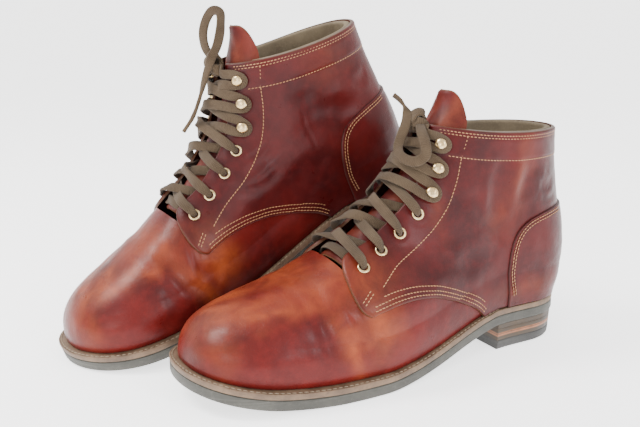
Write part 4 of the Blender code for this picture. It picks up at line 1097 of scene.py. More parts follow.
# broad swellings (+) and hollows (-): centre, radii, turn (degrees), height, sides, boots
SWELLS = [
    ((122, 40), (9, 14), 20, 0.9, (1, -1), ('left', 'right')),
    ((72, 52), (16, 18), 0, 0.5, (1, -1), ('left', 'right')),
    ((214, 104), (12, 34), 10, 1.4, (1,), ('left',)),
    ((246, 128), (9, 26), -8, 1.3, (1,), ('left',)),
    ((232, 108), (10, 22), 0, -1.1, (1,), ('left',)),
    ((212, 136), (10, 34), 4, 1.2, (-1,), ('right',)),
    ((250, 140), (16, 18), 0, -0.9, (-1,), ('right',)),
    ((262, 118), (24, 9), 0, 0.9, (-1,), ('right',)),
    ((180, 84), (14, 12), 0, 0.9, (-1,), ('right',)),
    ((268, 66), (16, 26), 0, 0.9, (1, -1), ('left', 'right')),
    ((140, 74), (14, 10), 30, 0.8, (1, -1), ('left', 'right')),
]
# tan pull-up where the leather has been bent or rubbed: centre, radii, turn, strength, sides, boots
PULLS = [
    ((124, 45), (14, 16), 0, 0.95, (1, -1), ('left', 'right')),
    ((101, 36), (7, 20), 18, 0.75, (1, -1), ('left', 'right')),
    ((48, 57), (34, 4.5), 6, 0.75, (1, -1), ('left', 'right')),
    ((86, 70), (22, 8), 14, 0.55, (1, -1), ('left', 'right')),
    ((118, 72), (12, 15), 0, 0.62, (1,), ('left',)),
    ((130, 76), (18, 12), 0, 0.35, (1,), ('left',)),
    ((252, 138), (8, 22), -6, 0.55, (1,), ('left',)),
    ((236, 104), (14, 16), 0, 0.35, (1,), ('left',)),
    ((178, 128), (7, 30), 10, 0.35, (1,), ('left',)),
    ((262, 46), (30, 7), 0, 0.35, (1,), ('left',)),
    ((122, 64), (10, 10), 0, 0.4, (-1,), ('right',)),
    ((20, 40), (10, 14), 0, 0.35, (1, -1), ('left', 'right')),
    ((255, 150), (18, 18), 0, 0.30, (-1,), ('right',)),
]


def blob(y, z, c, r, turn):
    a = math.radians(turn)
    u = (y - c[0]) * math.cos(a) + (z - c[1]) * math.sin(a)
    v = -(y - c[0]) * math.sin(a) + (z - c[1]) * math.cos(a)
    return np.exp(-(u / r[0]) ** 2 - (v / r[1]) ** 2)


def worn(P, side, boot):
    """(height change in mm, pull-up 0..1) of the upper at surface points"""
    y, z = P[..., 1], P[..., 2]
    edge = smooth((z - feather_z(y) - 1.0) / 9.0)
    h = np.zeros(y.shape)
    for pts, depth, width, sides, boots in CREASES:
        if side in sides and boot in boots:
            wv = 1.6 * wob(P, 26, 3) * (width / 6)
            d, t = line_distance(y + wv, z + 0.6 * wv, pts)
            ends = smooth(np.minimum(t, 1 - t) / 0.22 + 0.05)
            g = d / width
            h += depth * ends * (0.55 * np.exp(-((g - 1.55) / 0.75) ** 2) - np.exp(-g ** 2))
    for c, r, turn, amp, sides, boots in SWELLS:
        if side in sides and boot in boots:
            h += amp * blob(y, z, c, r, turn)
    h += 0.16 * wob(P, 38, 1) + 0.07 * wob(P, 13, 2)
    # fine lines fan out over the flex area
    flex = blob(y, z, (98, 50), (17, 30), 0)
    h += 0.10 * flex * np.sin((y + 0.28 * z + 2.2 * wob(P, 30, 4)) * 1.25)
    p = np.zeros(y.shape)
    for c, r, turn, amp, sides, boots in PULLS:
        if side in sides and boot in boots:
            p = 1 - (1 - p) * (1 - amp * blob(y + 2.5 * wob(P, 22, 5), z + 2 * wob(P, 18, 6), c, r, turn))
    return h * edge, np.clip(p, 0, 1)


class Piece:
    """grids gathered into one closed shell with rounded edges"""

    def __init__(self):
        self.V, self.F, self.A = [], [], []
        self.count = 0

    def add(self, P, N, side, lo, hi, edges, radius=1.0, h=None, pull=None, flip=False, round_in=False, floor=True):
        d = edge_distance(P, edges)
        k = np.clip(d / radius, 0, 1)
        drop = 1 - np.sqrt(np.clip(1 - (1 - k) ** 2, 0, 1))
        lo = np.broadcast_to(lo, d.shape).astype(float)
        hi = np.broadcast_to(hi, d.shape).astype(float)
        mid = lo + (hi - lo) * 0.35
        top = hi - (hi - mid) * drop
        low = lo + ((mid - lo) * drop if round_in else 0)
        if h is not None:
            top = top + h
            low = low + h
        A = P + N * low[..., None]
        B = P + N * top[..., None]
        if floor:
            A[..., 2] = np.maximum(A[..., 2], feather_z(A[..., 1]) - 0.6)
            B[..., 2] = np.maximum(B[..., 2], feather_z(B[..., 1]) - 0.4)
        nu, nv = d.shape
        base = self.count
        ids = base + np.arange(nu * nv).reshape(nu, nv)
        n = nu * nv
        for ring in (A, B):
            self.V.append(ring.reshape(-1, 3))
        self.count += 2 * n
        pu = np.zeros(n) if pull is None else pull.ravel()
        at_ = np.stack([pu, np.clip(d, 0, 20).ravel()], 1)
        self.A += [at_, at_]
        q = np.stack([ids[:-1, :-1], ids[1:, :-1], ids[1:, 1:], ids[:-1, 1:]], -1).reshape(-1, 4)
        rev = (side < 0) != flip
        up = q[:, ::-1] if rev else q
        self.F.append(up + n)
        self.F.append(up[:, ::-1])
        def wall(line):
            w = np.stack([line[:-1], line[1:], line[1:] + n, line[:-1] + n], -1)
            self.F.append(w)
        if 'left' in edges:
            wall(ids[0, ::-1])
        if 'right' in edges:
            wall(ids[-1, :])
        if 'top' in edges:
            wall(ids[:, 0])
        if 'bottom' in edges:
            wall(ids[::-1, -1])

    def close(self, line_pts):
        pass

    def data(self):
        return np.vstack(self.V), np.vstack(self.F), np.vstack(self.A)


def to_world(V, boot):
    """left-boot millimetres to the row frame in metres"""
    V = np.asarray(V, float)
    if boot == 'left':
        return (V + np.array([PAIR_SHIFT[0], PAIR_SHIFT[1], 0])) * MM
    y = V[..., 1] - TILT_PIVOT_Y
    z = V[..., 2]
    return np.stack([-V[..., 0] + RIGHT_X + PAIR_SHIFT[0],
                     y * math.cos(TH) - z * math.sin(TH) + RIGHT_Y + TILT_PIVOT_Y + PAIR_SHIFT[1],
                     y * math.sin(TH) + z * math.cos(TH)], -1) * MM


def make_object(name, boot, V, F, mat, attrs=None, sharp=55, merge=2e-5, body=None, replaces=(), weld=True):
    W = to_world(V, boot)
    me = bpy.data.meshes.new(name)
    faces = [tuple(int(i) for i in f) for f in F]
    me.from_pydata([tuple(v) for v in W], [], faces)
    if attrs is not None:
        for k, nm in enumerate(attrs[1]):
            a = me.attributes.new(nm, 'FLOAT', 'POINT')
            a.data.foreach_set('value', attrs[0][:, k].astype(np.float32))
    bm = bmesh.new()
    bm.from_mesh(me)
    if weld:
        bmesh.ops.remove_doubles(bm, verts=bm.verts, dist=merge)
        bmesh.ops.dissolve_degenerate(bm, edges=bm.edges, dist=1e-7)
        bmesh.ops.recalc_face_normals(bm, faces=bm.faces)
    elif boot == 'right':
        bmesh.ops.reverse_faces(bm, faces=bm.faces)
    bm.to_mesh(me)
    bm.free()
    me.shade_smooth()
    me.set_sharp_from_angle(angle=math.radians(sharp))
    me.materials.append(mat)
    ob = bpy.data.objects.new(name, me)
    bpy.context.scene.collection.objects.link(ob)
    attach(ob, body or boot + '_boot')
    if replaces:
        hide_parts(*replaces)
    return ob


# ---------------------------------------------------------------- upper pieces
M = 7


def vamp_grid():
    m = M
    ridge = ridge_top(THROAT_Y)
    throat = throat_edge(THROAT_Y, 23.0, 4 * m)
    hidden = rounded([tuple(throat[-1]), (121, 65.0), (134, 64.5), (152, 66), (170, 65), (188, 60), (205, 53), (220, 46), (236, 44.0)], 60, 3)
    T = np.vstack([spaced(ridge, 8 * m, ease_in), throat[1:], spaced(hidden, 6 * m)[1:]])
    coarse = np.r_[FEATHER_Y0 + (96.0 - FEATHER_Y0) * ease_in(np.linspace(0, 1, 9)), [102, 108, 114, 121], np.linspace(121, 236, 7)[1:]]
    fy = pchip(np.arange(19), coarse, np.linspace(0, 18, 18 * m + 1))
    B = np.stack([fy, feather_z(fy)], 1)
    v = np.linspace(0, 1, 9 * m + 1)
    v = np.unique(np.r_[0.30 * v + 0.70 * v ** 1.6, 0.003, 0.008, 0.016])
    L = at(TOEWALL, v)
    R = at([hidden[-1], (236.0, float(feather_z(236.0)))], v)
    G = patch(T, B, L, R)
    return G, 8 * m


def build_vamp(boot, mat):
    pc = Piece()
    G, nr = vamp_grid()
    for side in (1, -1):
        mid = np.zeros(G.shape[:2], bool)
        mid[0, :] = True
        mid[:nr + 1, 0] = True
        P, N = lift(G, side, mid)
        h, pull = worn(P, side, boot)
        if side < 0:
            # the two halves agree along the middle
            h1, pull1 = worn(P * np.array([1, 1, 1]), 1, boot)
            k = np.clip(np.abs(P[..., 0]) / 14.0, 0, 1)
            h, pull = h1 * (1 - k) + h * k, pull1 * (1 - k) + pull * k
        Gd = edge_distance(P[nr:], ('top', 'right'))
        d = np.full(P.shape[:2], 99.0)
        d[nr:] = Gd
        # the sole join tucks in a little
        hi = VAMP[1] - 0.5 * (1 - smooth((P[..., 2] - feather_z(P[..., 1])) / 3.0))
        A = P + N * (VAMP[0] + h)[..., None]
        B = P + N * (hi + h - 0.6 * (1 - np.clip(d, 0, 1)))[..., None]
        B[..., 2] = np.maximum(B[..., 2], feather_z(B[..., 1]) - 0.8)
        n = P.shape[0] * P.shape[1]
        ids = pc.count + np.arange(n).reshape(P.shape[:2])
        pc.V += [A.reshape(-1, 3), B.reshape(-1, 3)]
        pc.count += 2 * n
        at_ = np.stack([pull.ravel(), np.clip(d, 0, 20).ravel()], 1)
        pc.A += [at_, at_]
        q = np.stack([ids[:-1, :-1], ids[1:, :-1], ids[1:, 1:], ids[:-1, 1:]], -1).reshape(-1, 4)
        up = q if side > 0 else q[:, ::-1]
        pc.F += [up + n, up[:, ::-1]]
        for line in (ids[nr:, 0], ids[::-1, -1], ids[-1, :]):
            pc.F.append(np.stack([line[:-1], line[1:], line[1:] + n, line[:-1] + n], -1))
    V, F, A = pc.data()
    return make_object(boot + '_vamp_leather', boot, V, F, mat, (A, ('pull', 'rim')), replaces=(boot + '_vamp',))


def quarter_curves():
    front = quarter_front()
    collar_y = np.linspace(front[-1][0], float(back_y(COLLAR_Z)), 40)
    top = np.stack([collar_y, collar_z(collar_y)], 1)
    top[-1] = (float(back_y(COLLAR_Z)), COLLAR_Z)
    zb = float(feather_z(285.0))
    seam = rounded(SEAM, 80, 3)
    heel = feather(SEAM[-1][0], float(back_y(zb)))
    return front, top, seam, heel, back_line(COLLAR_Z, zb)


def quarter_grid():
    front, top, seam, heel, back = quarter_curves()
    u = near_edges(16 * M, True, False, 0.005)
    v = near_edges(13 * M, True, True, 0.005)
    T = at(top, 0.8 * ease_out(u) + 0.2 * u)
    s = u < 0.5
    B = np.vstack([at(seam, 2 * u[s]), at(heel, ease_out(2 * u[~s] - 1))])
    L = at(front[::-1], ease_both(v))
    R = at(back, v)
    return patch(T, B, L, R)


def seam_line(side):
    """points and side-view lines of the stitching on a quarter"""
    front, top, seam, heel, back = quarter_curves()
    return front, top, seam


def build_quarter(boot, side, mat):
    pc = Piece()
    G = quarter_grid()
    mid = np.zeros(G.shape[:2], bool)
    mid[-1, :] = True
    P, N = lift(G, side, mid, 0.06)
    h, pull = worn(P, side, boot)
    if side < 0:
        h1, p1 = worn(P, 1, boot)
        k = np.clip(np.abs(P[..., 0]) / 14.0, 0, 1)
        h, pull = h1 * (1 - k) + h * k, p1 * (1 - k) + pull * k
    y, z = P[..., 1], P[..., 2]
    d = edge_distance(P, ('left', 'top', 'bottom'))
    # folded band below the top line, grooves under the stitching
    hi = np.full(y.shape, QUARTER[1] - 0.15)
    zc = collar_z(y)
    hi += 0.55 * smooth((z - (zc - 21.0)) / 1.6) * (1 - smooth((z - (zc - 2.0)) / 3.0) * 0.4)
    for off in (2.6, 4.6):
        hi -= 0.35 * np.exp(-((zc - z - off) / 0.8) ** 2)
    hi -= 0.30 * np.exp(-((zc - z - 20.0) / 0.9) ** 2)
    lo = np.full(y.shape, 1.5)
    # eyelets press the leather in a little
    for (ey, ez) in EYELET_YZ + HOOK_YZ:
        t, s = girth(ey, ez, side)
        c = over(t, s * side, 0)[0]
        r = np.linalg.norm(P - c, axis=-1)
        hi -= 0.35 * np.exp(-(r / 4.6) ** 2) - 0.28 * np.exp(-((r - 7.0) / 2.0) ** 2)
    pc.add(P, N, side, lo, hi, ('left', 'top', 'bottom'), radius=1.7, h=h * smooth(d / 5.0) + 0.0, pull=pull)
    # the back seam is closed by its own wall
    V, F, A = pc.data()
    n = P.shape[0] * P.shape[1]
    ids = np.arange(n).reshape(P.shape[:2])[-1, :]
    F = np.vstack([F, np.stack([ids[:-1], ids[1:], ids[1:] + n, ids[:-1] + n], -1)])
    word = 'lateral' if side > 0 else 'medial'
    return make_object('%s_quarter_%s_leather' % (boot, word), boot, V, F, mat, (A, ('pull', 'rim')), replaces=('%s_quarter_%s' % (boot, word),))


def build_cover(boot, mat):
    pc = Piece()
    zb = float(feather_z(285.0))
    front = rounded([(262.0, 97.5), (252.0, 91.5), (246.0, 82.0), (243.5, 70.0), (243.0, 56.0), (245.0, float(feather_z(245.0)))], 60, 3)
    top = rounded([(262.0, 97.5), (272.0, 100.5), (284.0, 102.5), (float(back_y(104.0)), 104.0)], 30, 1)
    u = near_edges(7 * M, True, False, 0.012)
    v = near_edges(7 * M, True, True, 0.010)
    T, B = at(top, ease_out(u)), at(feather(245.0, float(back_y(zb))), ease_out(u))
    G = patch(T, B, at(front, v), at(back_line(104.0, zb), v))
    for side in (1, -1):
        mid = np.zeros(G.shape[:2], bool)
        mid[-1, :] = True
        P, N = lift(G, side, mid)
        h, pull = worn(P, side, boot)
        if side < 0:
            h1, p1 = worn(P, 1, boot)
            k = np.clip(np.abs(P[..., 0]) / 14.0, 0, 1)
            h, pull = h1 * (1 - k) + h * k, p1 * (1 - k) + pull * k
        d = edge_distance(P, ('left', 'top'))
        hi = np.full(d.shape, COVER[1] - 0.35)
        for off in (2.2, 4.4):
            hi -= 0.3 * np.exp(-((d - off) / 0.8) ** 2)
        pc.add(P, N, side, 3.2, hi, ('left', 'top', 'bottom'), radius=1.5, h=h, pull=pull)
    V, F, A = pc.data()
    return make_object(boot + '_heel_cover_leather', boot, V, F, mat, (A, ('pull', 'rim')), replaces=(boot + '_heel_cover',))


def build_lining(boot, mat):
    """two shells as one piece: forefoot, and heel with shaft up to the rolled top line"""
    pc = Piece()
    ymid = 128.0
    zb = float(feather_z(285.0))
    split = (ymid, 58.0)
    m = max(2, M - 3)
    throat = throat_edge(98.0, 26.0, 4 * m)
    ridge = ridge_top(98.0)
    v = np.linspace(0, 1, 5 * m + 1)
    Rr = at([split, (ymid, float(feather_z(ymid)))], v)
    T = np.vstack([spaced(ridge, 7 * m, ease_in), throat[1:], spaced([throat[-1], split], 2 * m)[1:]])
    coarse = np.r_[FEATHER_Y0 + (90.0 - FEATHER_Y0) * ease_in(np.linspace(0, 1, 8)), [96, 102, 108, 114, 121, ymid]]
    fy = pchip(np.arange(14), coarse, np.linspace(0, 13, 13 * m + 1))
    G1 = patch(T, np.stack([fy, feather_z(fy)], 1), at(TOEWALL, v), Rr)
    front = np.array(LINING_FRONT)
    front = front[front[:, 1] > 72]
    low = np.vstack([[split], [(131.0, 68.0)], front])
    v2 = np.unique(np.r_[np.linspace(0, 1, 10 * m + 1), 0.004, 0.012, 0.02])
    Lc = np.vstack([low[::-1], Rr[1:]])
    u2 = near_edges(9 * m, True, False, 0.006)
    collar_y = np.linspace(Lc[0][0], float(back_y(COLLAR_Z)), 40)
    top = np.stack([collar_y, collar_z(collar_y)], 1)
    top[-1] = (float(back_y(COLLAR_Z)), COLLAR_Z)
    top[0] = Lc[0]
    G2 = patch(at(top, ease_out(u2)), at(feather(ymid, float(back_y(zb))), ease_out(u2)), at(Lc, v2), at(back_line(COLLAR_Z, zb), v2))
    for side in (1, -1):
        mid = np.zeros(G1.shape[:2], bool)
        mid[0, :] = True
        mid[:7 * m + 1, 0] = True
        P, N = lift(G1, side, mid)
        pc.add(P, N, side, LINING[0], LINING[1], ('top', 'bottom', 'right'), radius=0.7)
        mid = np.zeros(G2.shape[:2], bool)
        mid[-1, :] = True
        P, N = lift(G2, side, mid)
        z = P[..., 2]
        hi = LINING[1] + (1.3 - LINING[1]) * smooth((z - 141.0) / 14.0)
        lo = LINING[0] + 0.4 * wob(P, 30, 2) * smooth((z - 60) / 30.0) * 0.5
        # stitched facing edge and a soft rolled top
        pc.add(P, N, side, lo, hi, ('left', 'top', 'bottom'), radius=1.6, round_in=True)
    V, F, A = pc.data()
    return make_object(boot + '_lining_leather', boot, V, F, mat, (A, ('pull', 'rim')), replaces=(boot + '_lining',))


def build_tongue(boot, mat):
    t0 = girth(112.0, 84.0)[0]
    t1 = EDGE_T[-1] + 36.0
    nt, ns = 14 * M, 8 * M
    P = np.zeros((nt + 1, 2 * ns + 1, 3))
    N = np.zeros_like(P)
    ts = np.linspace(t0, t1, nt + 1)
    sg = np.linspace(0, 40.0, 81)
    js = np.arange(0, ns + 1)
    for side in (1, -1):
        tab = np.zeros((nt + 1, len(sg), 3))
        for i, t in enumerate(ts):
            # one girth table per row keeps this quick
            R = np.array([np.interp(t, RC_S, RC[:, 0]), np.interp(t, RC_S, RC[:, 1])])
            R2 = np.array([np.interp(t + 1, RC_S, RC[:, 0]), np.interp(t + 1, RC_S, RC[:, 1])])
            Tg = (R2 - R) / np.linalg.norm(R2 - R)
            Nin = np.array([Tg[1], -Tg[0]])
            d = np.linspace(0, 1, 90) ** 2 * 48
            y, z = R[0] + Nin[0] * d, R[1] + Nin[1] * d
            x = np.abs(base_x(y, z, side))
            x[0] = 0
            arc = np.r_[0, np.cumsum(np.sqrt(np.diff(x) ** 2 + np.diff(y) ** 2 + np.diff(z) ** 2))]
            tab[i] = np.stack([side * np.interp(sg, arc, x), np.interp(sg, arc, y), np.interp(sg, arc, z)], 1)
        for i in range(nt + 1):
            k = i / nt
            f = 1 - (1 - js / ns) ** 1.15
            s = (32.0 - 4.0 * k + 6.5 * smooth((k - 0.72) / 0.22)) * f
            if k > 0.95:
                s = s * (1 - 0.05 * ((k - 0.95) / 0.05) ** 2 * f ** 6)
            # the top edge drops towards its corners
            t = t0 + (t1 - 1.0 - TONGUE_DROP * f ** 4 - t0) * k
            gi = (t - t0) / (t1 - t0) * nt
            i0 = np.clip(gi.astype(int), 0, nt - 1)
            fi = (gi - i0)[:, None]
            gs = s / sg[1]
            j0 = np.clip(gs.astype(int), 0, len(sg) - 2)
            fs = (gs - j0)[:, None]
            Q = (tab[i0, j0] * (1 - fs) + tab[i0, j0 + 1] * fs) * (1 - fi) + (tab[i0 + 1, j0] * (1 - fs) + tab[i0 + 1, j0 + 1] * fs) * fi
            n = normals(Q, side)
            n[s < 0.5, 0] = 0
            n /= np.linalg.norm(n, axis=1, keepdims=True)
            for j in js:
                P[i, ns + side * j] = Q[j]
                N[i, ns + side * j] = n[j]
    h = 0.35 * wob(P, 30, 4) + 0.16 * wob(P, 11, 5)
    # soft cross folds between the rows, and the free top curls a little
    tt = np.linspace(0, 1, nt + 1)[:, None]
    h += 0.35 * np.sin(tt * 34 + 0.03 * P[..., 0]) * smooth((0.8 - tt) / 0.3)
    lean = 9.0 * smooth((P[..., 2] - 160.0) / 36.0)
    pc = Piece()
    pc.add(P, N, 1, TONGUE[0] - lean, TONGUE[1] - lean, ('left', 'right', 'top', 'bottom'), radius=1.0, h=h,
           pull=np.clip(0.25 + 0.3 * wob(P, 24, 6), 0, 1), flip=False, round_in=True, floor=False)
    V, F, A = pc.data()
    return make_object(boot + '_tongue_leather', boot, V, F, mat, (A, ('pull', 'rim')), body=boot + '_tongue', replaces=(boot + '_tongue',))


# ---------------------------------------------------------------- bottom pieces
def ring_profile(side_n, profile, y0=None, y1=None, margin=sole_margin):
    """the closed loop round the feather plan at the margin, with its outward normals; the (outward, height) profile is
    not used here
    """
    a = outline(-1, margin, side_n)
    b = outline(1, margin, side_n)
    loop = np.vstack([b, a[-2:0:-1]])
    t = np.roll(loop, -1, 0) - np.roll(loop, 1, 0)
    t /= np.linalg.norm(t, axis=1, keepdims=True)
    nrm = np.stack([t[:, 1], -t[:, 0]], 1)
    if np.mean((nrm * (loop - loop.mean(0))).sum(1)) < 0:
        nrm = -nrm
    return loop, nrm


def swept(profile, n, wear=None):
    loop, nrm = ring_profile(n, profile)
    m, k = len(loop), len(profile)
    V = np.zeros((m, k, 3))
    for j, (o, h) in enumerate(profile):
        q = loop + nrm * o
        V[:, j, 0], V[:, j, 1] = q[:, 0], q[:, 1]
        V[:, j, 2] = sole_z(q[:, 1]) + h
    if wear is not None:
        V = wear(V, nrm)
    ids = np.arange(m * k).reshape(m, k)
    F = np.stack([ids, np.roll(ids, -1, 0), np.roll(np.roll(ids, -1, 0), -1, 1), np.roll(ids, -1, 1)], -1).reshape(-1, 4)
    return V.reshape(-1, 3), F


def build_welt(boot, mat):
    z0 = OUTSOLE_T + 0.15
    z1 = OUTSOLE_T + GAP + WELT_T
    prof = [(-8.4, z0), (-0.9, z0), (-0.35, z0 + 0.15), (-0.1, z0 + 0.6), (-0.05, z1 - 1.3), (-0.45, z1 - 0.55), (-1.2, z1 - 0.35),
            (-1.7, z1 - 0.62), (-2.3, z1 - 0.62), (-2.8, z1 - 0.35), (-4.2, z1 - 0.25), (-5.6, z1 - 0.15), (-7.0, z1), (-8.4, z1)]

    def wear(V, nrm):
        w = 0.12 * wob(V, 14, 3) + 0.06 * wob(V, 5, 6)
        V[:, 3:7, 0] += (w[:, 3:7] * nrm[:, :1])
        V[:, 3:7, 1] += (w[:, 3:7] * nrm[:, 1:])
        V[:, 5:13, 2] += 0.08 * wob(V[:, 5:13], 9, 8)
        return V
    V, F = swept(prof, 60 * M, wear)
    return make_object(boot + '_stitched_welt', boot, V, F, mat, replaces=(boot + '_welt',), sharp=40)


def filled(loop_z, margin, n, profile_side, mid=24):
    return None


def plate(margin, n, z_lo, z_hi, mid, edge, y0=None, bottom_groove=None):
    """plan rows, the spacing across them and a sheet maker for a plate over the plan; no solid is built, and edge, a
    list of (outward, 0..1 height), only feeds a sheet that is thrown away
    """
    a = outline(-1, margin, n, y0)
    b = outline(1, margin, n, y0)
    rows_a, rows_b = a[1:-1] if y0 is None else a[:-1], b[1:-1] if y0 is None else b[:-1]
    f = np.linspace(0, 1, mid + 1)
    f = 0.5 - 0.5 * np.cos(np.pi * f)
    V, F = [], []

    def sheet_(zf, inset):
        c = (rows_a + rows_b) / 2
        pa = rows_a + (c - rows_a) / np.maximum(np.linalg.norm(c - rows_a, axis=1, keepdims=True), 1e-6) * inset
        pb = rows_b + (c - rows_b) / np.maximum(np.linalg.norm(c - rows_b, axis=1, keepdims=True), 1e-6) * inset
        q = pa[:, None] * (1 - f)[None, :, None] + pb[:, None] * f[None, :, None]
        return np.concatenate([q, zf(q[..., 0], q[..., 1])[..., None]], -1)
    layers = [sheet_(z_hi, -edge[0][0])]
    return rows_a, rows_b, f, sheet_


def build_plate(name, boot, mat, margin, n, z_lo, z_hi, edge, mid, node, relief=None, sharp=35, y0=None):
    """closed plate: top sheet, rounded wall, bottom sheet; edge = [(inset, height fraction)] from top to bottom"""
    def loop_at(inset):
        mg = (lambda y: (margin(y) if callable(margin) else margin) - inset)
        a = outline(-1, mg, n, y0)
        b = outline(1, mg, n, y0)
        return a, b
    V, F = [], []
    count = 0
    rings = []
    for (inset, hf) in edge:
        a, b = loop_at(inset)
        a3 = np.c_[a, z_lo(a[:, 1]) + (z_hi(a[:, 1]) - z_lo(a[:, 1])) * hf]
        b3 = np.c_[b, z_lo(b[:, 1]) + (z_hi(b[:, 1]) - z_lo(b[:, 1])) * hf]
        closed = np.vstack([b3, a3[::-1][1:-1] if y0 is None else a3[::-1][1:]])
        rings.append(closed)
    m = len(rings[0])
    for r in rings:
        V.append(r)
    for k in range(len(rings) - 1):
        i = np.arange(m)
        j = (i + 1) % m
        F += [(k * m + p, k * m + q, (k + 1) * m + q, (k + 1) * m + p) for p, q in zip(i, j)]
    count = len(rings) * m
    # sheets from row to row
    for (inset, hf), top in ((edge[0], True), (edge[-1], False)):
        a, b = loop_at(inset)
        fr = 0.5 - 0.5 * np.cos(np.pi * np.linspace(0, 1, mid + 1))
        rows = []
        lo_i, hi_i = (0, n + 1)
        for i in range(lo_i, hi_i):
            q = a[i][None] * (1 - fr)[:, None] + b[i][None] * fr[:, None]
            z = (z_hi if top else z_lo)(q[:, 1])
            q3 = np.c_[q, z]
            if relief is not None:
                dd = np.minimum(np.linalg.norm(q - a[i], axis=1), np.linalg.norm(q - b[i], axis=1))
                q3[:, 2] += relief(q3, dd, top)
            rows.append(q3)
        R = np.array(rows)
        ids = count + np.arange(R.shape[0] * R.shape[1]).reshape(R.shape[:2])
        V.append(R.reshape(-1, 3))
        count += R.shape[0] * R.shape[1]
        q = np.stack([ids[:-1, :-1], ids[:-1, 1:], ids[1:, 1:], ids[1:, :-1]], -1).reshape(-1, 4)
        F += [tuple(x) for x in (q if top else q[:, ::-1])]
    return make_object(name, boot, np.vstack(V), F, mat, replaces=(node,), sharp=sharp, merge=4e-6 * 5)


# ---------------------------------------------------------------- stitching
def stitch_mesh(paths, pitch, length, r, sides=6):
    """short raised threads along surface lines; each path is (points, normals)"""
    V, F, A = [], [], []
    count = 0
    st = np.array([-1.0, -0.72, -0.3, 0.3, 0.72, 1.0])
    rad = np.array([0.30, 0.82, 1.0, 1.0, 0.82, 0.30])
    dip = np.array([-0.42, -0.10, 0.06, 0.06, -0.10, -0.42])
    for P, N in paths:
        d = np.r_[0, np.cumsum(np.linalg.norm(np.diff(P, axis=0), axis=1))]
        n = int(d[-1] / pitch)
        for i in range(n):
            c = (i + 0.5) * d[-1] / n
            s = np.clip(c + st * length / 2, 0, d[-1])
            q = np.stack([np.interp(s, d, P[:, k]) for k in range(3)], 1)
            m = np.stack([np.interp(s, d, N[:, k]) for k in range(3)], 1)
            m /= np.linalg.norm(m, axis=1, keepdims=True)
            t = np.gradient(q, axis=0)
            t /= np.linalg.norm(t, axis=1, keepdims=True) + 1e-9
            w = np.cross(t, m)
            w /= np.linalg.norm(w, axis=1, keepdims=True) + 1e-9
            skew = 0.10 * length * np.array([-1, -0.6, -0.2, 0.2, 0.6, 1.0])
            c3 = q + m * (dip * r * 1.6)[:, None] + w * (skew * 0.5)[:, None]
            ang = np.arange(sides) * 2 * math.pi / sides
            ring = (c3[:, None] + (w[:, None] * np.cos(ang)[None, :, None] + m[:, None] * np.sin(ang)[None, :, None] * 0.85) * (rad * r)[:, None, None])
            V.append(ring.reshape(-1, 3))
            ids = count + np.arange(len(st) * sides).reshape(len(st), sides)
            F += [tuple(x) for x in np.stack([ids[:-1], ids[1:], np.roll(ids[1:], -1, 1), np.roll(ids[:-1], -1, 1)], -1).reshape(-1, 4)]
            F.append(tuple(ids[0]))
            F.append(tuple(ids[-1][::-1]))
            al = np.repeat(s - c, sides)
            A.append(np.stack([al + 13.7 * (i % 7), np.tile(ang, len(st))], 1))
            count += len(st) * sides
    return np.vstack(V), F, np.vstack(A)


def surface_line(yz, side, height, boot, step=0.8):
    """a side-view line laid on the worn surface at a height"""
    yz = np.asarray(yz, float)
    d = np.r_[0, np.cumsum(np.linalg.norm(np.diff(yz, axis=0), axis=1))]
    n = max(3, int(d[-1] / step))
    g = at(yz, np.linspace(0, 1, n + 1))
    P, N = lift(g[None], side)
    h, _p = worn(P, side, boot)
    hh = height(P[0]) if callable(height) else height
    return (P + N * (h + hh)[..., None])[0], N[0]


def inset_line(yz, off, cut0=0.0, cut1=0.0):
    """the side-view line moved to its left by off, shortened at its ends"""
    yz = polyline_smooth(np.asarray(yz, float)[:, 0], np.asarray(yz, float)[:, 1], 120, 4)
    t = np.gradient(yz, axis=0)
    t /= np.linalg.norm(t, axis=1, keepdims=True)
    q = yz + np.stack([-t[:, 1], t[:, 0]], 1) * off
    d = np.r_[0, np.cumsum(np.linalg.norm(np.diff(q, axis=0), axis=1))]
    k = (d >= cut0) & (d <= d[-1] - cut1)
    return q[k]


def row_line(behind, extra_low=0.0):
    """side-view line a girth distance behind the eyelets and hooks"""
    out = []
    for k, (t, s) in enumerate(ROW_TS):
        out.append(over(t, s + behind + (extra_low if k == 0 else 0), 0)[0][1:])
    top = extend_row(behind)
    return np.vstack([out, top])


def extend_row(behind):
    pts = []
    for k in range(1, 40):
        P, _n = over(ROW_TS[-1][0] + k * 1.0, ROW_TS[-1][1] + behind, 0)
        if P[2] >= collar_z(P[1]) - 3.0:
            break
        pts.append(P[1:])
    return np.array(pts)


